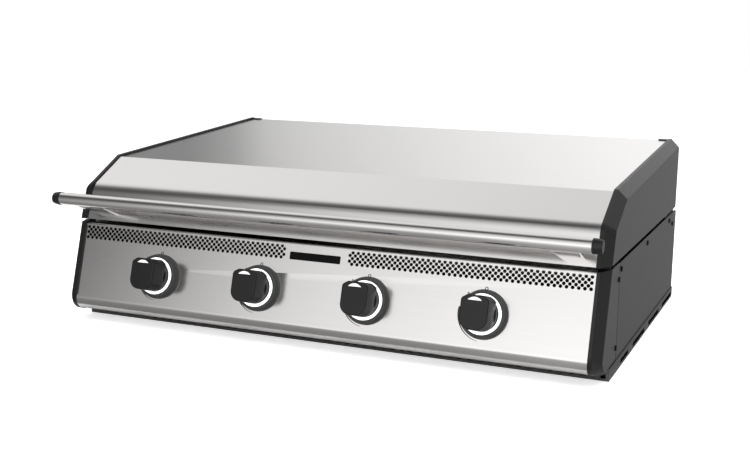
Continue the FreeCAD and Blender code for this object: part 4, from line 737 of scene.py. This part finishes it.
# Hood shell
# One stainless sheet bent over the front, the top and the back, with a hem folded in along its lower front edge.
hood_low, hood_high = (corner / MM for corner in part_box("hood_shell"))
hood_front = hood_low.y
hood_back = hood_high.y
hood_bottom = hood_low.z
hood_half = hood_high.x
knee_step = 19.8
knee_rise = 58.1
knee_bend = 30.0
knee_rim = 23.0
crest_step = 103.2
crest_rise = 100.5
crest_bend = 6.0
back_rise = 132.0
back_bend = 9.0
hood_skin = 1.2
hem = 12.0
hood_corners = [
    (hood_front, hood_bottom),
    (hood_back, hood_bottom),
    (hood_back, hood_bottom + back_rise),
    (hood_front + crest_step, hood_bottom + crest_rise),
    (hood_front + knee_step, hood_bottom + knee_rise),
]
hood_rounds = (0, 0, back_bend, crest_bend, knee_bend)
hood_line = bent(with_rounds([Vector(c) for c in hood_corners], hood_rounds), turn=2)
hood_skin_line = sheet_outline(hood_line[1:] + hood_line[:1], -hood_skin)
hem_line = oblong(hood_front + hood_skin / 2, hood_front + hem, hood_bottom, hood_bottom + hood_skin)
hood = new_piece("hood_sheet", joined(between(across(hood_skin_line, -hood_half, hood_half)),
                                      between(across(hem_line, -hood_half, hood_half))), stainless)
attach(hood, "hood")
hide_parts("hood_shell")

# End caps of the hood
# Hollow black castings like those of the control panel, open at the bottom, with a lip that wraps the sheet's rear
# edge. They are screwed on from inside and hold the hood's shape.
cap_wall = 2.5
lip_length = 19.0
lip_depth = 16.0
rim_above = 5.0
rim_change = 12.0
cap_lap = 1.0
cap_back = 2.0
cap_slope = 2.2
cap_soft = 1.0
edge_insets = {"top": 13.0, "slope": 15.0, "front": 19.5}
least_round = 0.5
cap_moves = (0, cap_back, cap_proud, cap_slope, cap_proud)
edge_moves = (0, cap_back) + tuple(-inset for inset in edge_insets.values())
lip_moves = (0, cap_back, cap_back, cap_back, cap_back)
rim_rounds = (0, 0, back_bend + cap_proud, crest_bend + cap_proud, knee_rim)
edge_rounds = (0, 0, cap_round, cap_round, cap_round)
lip_rounds = (0, 0, back_bend + cap_back, 0, 0)


def open_line(moves, rounds, shrink):
    """Outline of a hood cap from its rear foot over the top to its front foot, drawn in by the wall."""
    inner = [moves[0]] + [move - shrink for move in moves[1:]]
    radii = [max(radius - shrink, least_round) if radius else 0 for radius in rounds]
    corners = moved([Vector(c) for c in hood_corners], inner)
    line = bent(with_rounds(corners, radii), turn=3)
    return line[1:] + line[:1]


for side, word in ((-1, "left"), (1, "right")):
    rim_end = hood_half + cap_rims[word]
    stations = (side * (hood_half - cap_lap), side * rim_end, side * body_half, side * (body_half - cap_wall))
    outer_rim = open_line(cap_moves, rim_rounds, 0)
    outer_edge = open_line(edge_moves, edge_rounds, 0)
    inner_rim = open_line(cap_moves, rim_rounds, cap_wall)
    inner_edge = open_line(edge_moves, edge_rounds, cap_wall)
    loops = (across(inner_edge, stations[3]) + across(inner_rim, stations[1], stations[0])
             + across(outer_rim, stations[0], stations[1]) + across(outer_edge, stations[2]))
    for loop in (loops[1], loops[4]):
        for point in loop:
            above = min(max((point.z - hood_bottom - knee_rise) / rim_change + 0.5, 0), 1)
            point.x -= side * above * (cap_rims[word] - rim_above)
    points, faces = between(loops, closed=False)
    count = len(outer_rim)
    last = len(points) - count
    feet = [k * count for k in range(len(loops))]
    faces.append((0, last, last + count - 1, count - 1))
    faces.append(tuple(feet))
    faces.append(tuple(foot + count - 1 for foot in feet))
    lip_line = open_line(lip_moves, lip_rounds, 0)
    bend_end = max(k for k, point in enumerate(lip_line) if point.x > hood_back - lip_depth)
    lip_fall = (back_rise - crest_rise) / (hood_back - hood_front - crest_step)
    lip_top = lip_line[bend_end] + Vector((-1, -lip_fall)) * (lip_line[bend_end].x - hood_back + lip_depth)
    lip_path = sheet_outline(lip_line[:bend_end + 1] + [lip_top], -cap_back)
    lip = between(across(lip_path, side * (hood_half - lip_length), side * hood_half))
    hood_cap = new_piece("hood_end_" + word, joined((points, faces), lip), black_casting)
    soften(hood_cap, cap_soft)
    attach(hood_cap, "hood")
    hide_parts("hood_cap_" + word)

# Handle
# A stainless tube on two stamped stainless brackets spot welded to the hood, its ends closed by black plugs.
tube_radius = 11.0
tube_wall = 1.5
tube_edge = 0.4
tube_sides = 96
left_extra = 3.5
tube_low, tube_high = (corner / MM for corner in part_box("handle_tube"))
handle_y = (tube_low.y + tube_high.y) / 2
handle_z = (tube_low.z + tube_high.z) / 2
tube_half = tube_high.x
left_half = tube_half + left_extra
plug_radius = 11.7
plug_length = 15.0
plug_straight = 5.0
plug_taper = 1.9
plug_play = 0.5
plug_core = 0.5
plug_bend = 6.0
plug_sides = 64
along_x = Matrix.Translation((0, handle_y, handle_z)) @ Matrix.Rotation(math.pi / 2, 4, "Y")
tube_line = bent([
    (tube_radius - tube_wall, -left_half),
    (tube_radius, -left_half, tube_edge),
    (tube_radius, tube_half, tube_edge),
    (tube_radius - tube_wall, tube_half),
], turn=30, hold=0.2)
tube = new_piece("handle_bar", placed(turned(tube_line, tube_sides), along_x), stainless)
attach(tube, "hood")
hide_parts("handle_tube")
plug_skins = []
for side, reach in ((-1, left_half), (1, tube_half)):
    plug_line = bent([
        (tube_radius - tube_wall - plug_play, side * (reach - plug_length / 2)),
        (tube_radius - tube_wall - plug_play, side * reach),
        (plug_radius, side * reach, 0.5),
        (plug_radius, side * (reach + plug_straight), plug_bend),
        (plug_radius - plug_taper, side * (reach + plug_length), 0.8),
        (plug_core, side * (reach + plug_length)),
        (plug_core, side * (reach - plug_length / 2)),
    ], turn=10, hold=0.1)
    plug_skins.append(placed(turned(plug_line, plug_sides), along_x))
plugs = new_piece("handle_plugs", joined(*plug_skins), black_abs)
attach(plugs, "hood")
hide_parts("handle_end_caps")
bracket_inset = 61.5
bracket_offset = 5.0
bracket_ends = (45.0, 38.0)
bracket_drop = 2.0
bracket_depth = 6.0
bracket_low = Vector((2.6, 6.8))
bracket_high = Vector((10.6, 30.8))
bracket_round = 5.0
bracket_edge = 2.0
bracket_steps = 6
hood_foot = Vector((hood_front, hood_bottom))
bracket_under = (Vector((handle_y, handle_z - tube_radius - bracket_drop)), hood_foot + bracket_low)
bracket_over = (Vector((handle_y + bracket_depth, handle_z)), hood_foot + bracket_high)
bracket_loops = []
for step in range(bracket_steps + 1):
    t = step / bracket_steps
    under = bracket_under[0].lerp(bracket_under[1], t)
    rise = bracket_over[0].lerp(bracket_over[1], t) - under
    half = (bracket_ends[0] + (bracket_ends[1] - bracket_ends[0]) * t) / 2
    rounds = (bracket_round, bracket_round, bracket_edge, bracket_edge)
    corners = with_rounds(oblong(-half, half, 0, rise.length), rounds)
    lift = rise.normalized()
    bracket_loops.append([Vector((p.x, under.x + lift.x * p.y, under.y + lift.y * p.y))
                          for p in bent(corners, turn=10, hold=0.5)])
for side, word in ((-1, "left"), (1, "right")):
    shift = Matrix.Translation((side * (body_half - bracket_inset) + bracket_offset, 0, 0))
    bracket = new_piece("bracket_" + word, placed(between(bracket_loops), shift), stainless)
    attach(bracket, "hood")
    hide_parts("handle_bracket_" + word)

# Bumpers
# Rubber buttons on the end caps, under the front corners of the hood.

# Black rubber: moulded, matt, slightly dusty in clouds of about 4 mm.
rubber = finish("black_rubber", (4, 3.0), ("#161616", "#232222"), (0.6, 0.8), {"IOR": 1.5})
coat(rubber, "hood_bumpers")

# Side screws
# Button-head screws with a hexagon socket, through the side panels and the end caps.

# Black oxide steel: a thin matt skin on the screws, darker than the paint round them, mottled every 2 mm.
black_oxide = finish("black_oxide_steel", (2, 2.0), ("#050505", "#0c0c0c"), (0.5, 0.65),
                     {"Specular IOR Level": 0.15})
coat(black_oxide, "side_screws")

# Studio
# A pale floor, white all round, with soft lamps above. Curved cards that only reflections see stand round the griddle:
# bright in front and behind on the right, darker on the left, a soft box overhead, the shaded floor in front, and
# grey ones at both ends for the black sides.
floor_size = 12.0
floor_drop = 0.0005
floor_lift = 0.62
room_light = 0.55
mesh = bpy.data.meshes.new("floor")
mesh.from_pydata([(x * floor_size, y * floor_size, 0) for x, y in ((-1, -1), (1, -1), (1, 1), (-1, 1))], [],
                 [(0, 1, 2, 3)])
floor = bpy.data.objects.new("floor", mesh)
bpy.context.scene.collection.objects.link(floor)
floor.location.z = -floor_drop
pale_floor, tree = blank("pale_studio_floor")
seen = add_node(tree, "LightPath").outputs["Is Camera Ray"]
matt = add_node(tree, "BsdfDiffuse", {"Color": linear("#f4f4f4")})
lift = add_node(tree, "Emission", {"Color": linear("#ffffff"), "Strength": floor_lift})
lit = add_node(tree, "AddShader", {0: matt.outputs[0], 1: lift.outputs[0]})
mixed = add_node(tree, "MixShader", {0: seen, 1: matt.outputs[0], 2: lit.outputs[0]})
add_node(tree, "OutputMaterial", {"Surface": mixed.outputs[0]})
mesh.materials.append(pale_floor)


def card(name, level, sweep, slant=0.0, swing=0.0):
    """A curved card seen only in reflections: level is (x, strength) along it, sweep (y, z, share) up its curve.

    A slant makes it come forward by that much for each metre to the left; a swing turns it round the griddle.
    """
    left, right = level[0][0], level[-1][0]
    last = len(sweep) - 1
    mesh = bpy.data.meshes.new(name)
    points = [(x, y + slant * x, z) for y, z, share in sweep for x in (left, right)]
    mesh.from_pydata(points, [], [(2 * k, 2 * k + 1, 2 * k + 3, 2 * k + 2) for k in range(last)])
    layer = mesh.uv_layers.new(name="card")
    spots = [(u, v / last) for k in range(last) for u, v in ((0, k), (1, k), (1, k + 1), (0, k + 1))]
    for loop, spot in zip(layer.data, spots):
        loop.uv = spot
    material, tree = blank(name)
    sides = add_node(tree, "SeparateXYZ", {0: add_node(tree, "UVMap", uv_map="card").outputs[0]}).outputs
    along = [((x - left) / (right - left), strength) for x, strength in level]
    up = [(k / last, share) for k, (y, z, share) in enumerate(sweep)]
    ramps = []
    peak = 1.0
    for side, stops in ((sides[0], along), (sides[1], up)):
        top = max(strength for place, strength in stops)
        ramp = add_node(tree, "FloatCurve", {"Value": side})
        dots = ramp.mapping.curves[0].points
        for k, (place, strength) in enumerate(stops):
            dot = dots[k] if k < 2 else dots.new(place, strength / top)
            dot.location = (place, strength / top)
            dot.handle_type = "VECTOR"
        ramp.mapping.update()
        ramps.append(ramp.outputs[0])
        peak *= top
    share = add_node(tree, "Math", {0: ramps[0], 1: ramps[1]}, operation="MULTIPLY").outputs[0]
    strength = add_node(tree, "Math", {0: share, 1: peak}, operation="MULTIPLY").outputs[0]
    glow = add_node(tree, "Emission", {"Strength": strength})
    add_node(tree, "OutputMaterial", {"Surface": glow.outputs[0]})
    mesh.materials.append(material)
    piece = bpy.data.objects.new(name, mesh)
    bpy.context.scene.collection.objects.link(piece)
    piece.rotation_euler.z = math.radians(swing)
    piece.visible_camera = False
    piece.visible_shadow = False
    piece.visible_transmission = False
    piece.visible_diffuse = False


card("front_card",
     ((-6.0, 0.1), (-3.4, 0.13), (-2.55, 0.24), (-2.3, 0.38), (-1.9, 0.62), (-1.4, 0.98), (-0.9, 1.13), (-0.2, 1.34),
      (1.6, 1.38)),
     ((-3.0, 0.0, 1.22), (-3.0, 0.64, 1.15), (-3.0, 1.08, 1.02), (-3.0, 1.67, 0.87), (-3.0, 3.2, 0.58),
      (-2.02, 2.83, 0.33), (-1.4, 2.6, 0.16)))
card("floor_card",
     ((-3.0, 0.3), (-1.24, 0.42), (-0.5, 0.88), (0.15, 1.12), (0.42, 1.5), (0.6, 0.9), (3.0, 0.6)),
     ((-3.0, 0.002, 1.2), (-1.46, 0.002, 1.18), (-1.0, 0.002, 0.7), (-0.75, 0.002, 0.5), (-0.57, 0.002, 0.37),
      (-0.378, 0.002, 0.26)))
card("soft_box",
     ((-6.0, 1.1), (-2.2, 1.1), (-1.1, 1.06), (-0.1, 0.98), (1.6, 0.96)),
     ((-1.37, 2.6, 0.08), (-1.0, 2.6, 0.1), (-0.7, 2.6, 0.14), (-0.5, 2.6, 0.2), (-0.3, 2.6, 0.28), (-0.1, 2.6, 0.42),
      (0.05, 2.6, 0.56), (0.25, 2.6, 0.74), (0.5, 2.6, 0.88), (0.8, 2.6, 0.96), (1.1, 2.6, 1.0), (2.4, 2.6, 1.0)),
     slant=0.32)
card("back_card",
     ((-6.0, 0.27), (-2.75, 0.29), (-2.45, 0.43), (-2.25, 0.65), (-2.0, 0.76), (-1.5, 0.88), (-0.9, 1.02), (-0.2, 1.17),
      (1.6, 1.18)),
     ((3.5, 0.2, 1.0), (3.5, 2.6, 1.0)))
card("side_card",
     ((0.484, 0.58), (0.9, 0.63), (4.0, 0.68)),
     ((-0.37, 0.002, 0.9), (0.4, 0.002, 1.0), (3.4, 0.002, 1.0)))
card("right_card",
     ((-4.0, 0.3), (3.4, 0.3)),
     ((-4.0, 0.0, 1.3), (-4.0, 1.2, 1.2), (-4.0, 2.4, 0.75), (-4.0, 6.0, 0.5)), swing=90)
card("left_card",
     ((-3.4, 0.25), (3.0, 0.25)),
     ((-6.2, 0.0, 1.0), (-6.2, 9.0, 0.6)), swing=-90)


def lamp(name, place, aim, size, watts):
    """A soft square lamp that reflections don't see."""
    data = bpy.data.lights.new(name, "AREA")
    data.size = size
    data.energy = watts
    piece = bpy.data.objects.new(name, data)
    bpy.context.scene.collection.objects.link(piece)
    piece.location = place
    piece.rotation_euler = (Vector(aim) - Vector(place)).to_track_quat("-Z", "Y").to_euler()
    piece.visible_glossy = False


lamp("key_lamp", (1.2, -2.2, 2.6), (0, 0, 0.15), 1.8, 60)
lamp("top_lamp", (0.0, 0.4, 2.8), (0, 0, 0.1), 2.4, 50)
lamp("low_lamp", (0.3, -2.5, 0.4), (0, -0.3, 0.1), 0.8, 8)

world = bpy.data.worlds.new("white_studio")
bpy.context.scene.world = world
world.use_nodes = True
tree = world.node_tree
tree.nodes.clear()
path = add_node(tree, "LightPath")
seen = add_node(tree, "Math", {0: path.outputs["Is Camera Ray"], 1: path.outputs["Is Glossy Ray"]}, operation="MAXIMUM")
seen = add_node(tree, "Math", {0: seen.outputs[0], 1: path.outputs["Is Transmission Ray"]}, operation="MAXIMUM")
level = add_node(tree, "MapRange", {"Value": seen.outputs[0], "To Min": room_light, "To Max": 1.0})
sky = add_node(tree, "Background", {"Color": linear("#ffffff"), "Strength": level.outputs[0]})
add_node(tree, "OutputWorld", {"Surface": sky.outputs[0]})

scene = bpy.context.scene
scene.view_settings.view_transform = "Standard"

# Camera
# It stands in front on the right, a little above the hood, at the photograph's angle.
camera_place = (0.803138, -1.969303, 0.546254)
camera_azimuth = math.radians(23.165)
camera_elevation = math.radians(10.905)
camera_roll = math.radians(0.658)
camera_data = bpy.data.cameras.new("camera")
camera_data.sensor_width = 36.0
camera_data.lens = 54.37
camera = bpy.data.objects.new("camera", camera_data)
scene.collection.objects.link(camera)
scene.camera = camera
backward = Vector((math.sin(camera_azimuth) * math.cos(camera_elevation),
                   -math.cos(camera_azimuth) * math.cos(camera_elevation), math.sin(camera_elevation)))
level_right = Vector((0, 0, 1)).cross(backward).normalized()
level_up = backward.cross(level_right)
right = math.cos(camera_roll) * level_right + math.sin(camera_roll) * level_up
up = math.cos(camera_roll) * level_up - math.sin(camera_roll) * level_right
turn = Matrix((right, up, backward)).transposed().to_4x4()
camera.matrix_world = Matrix.Translation(camera_place) @ turn
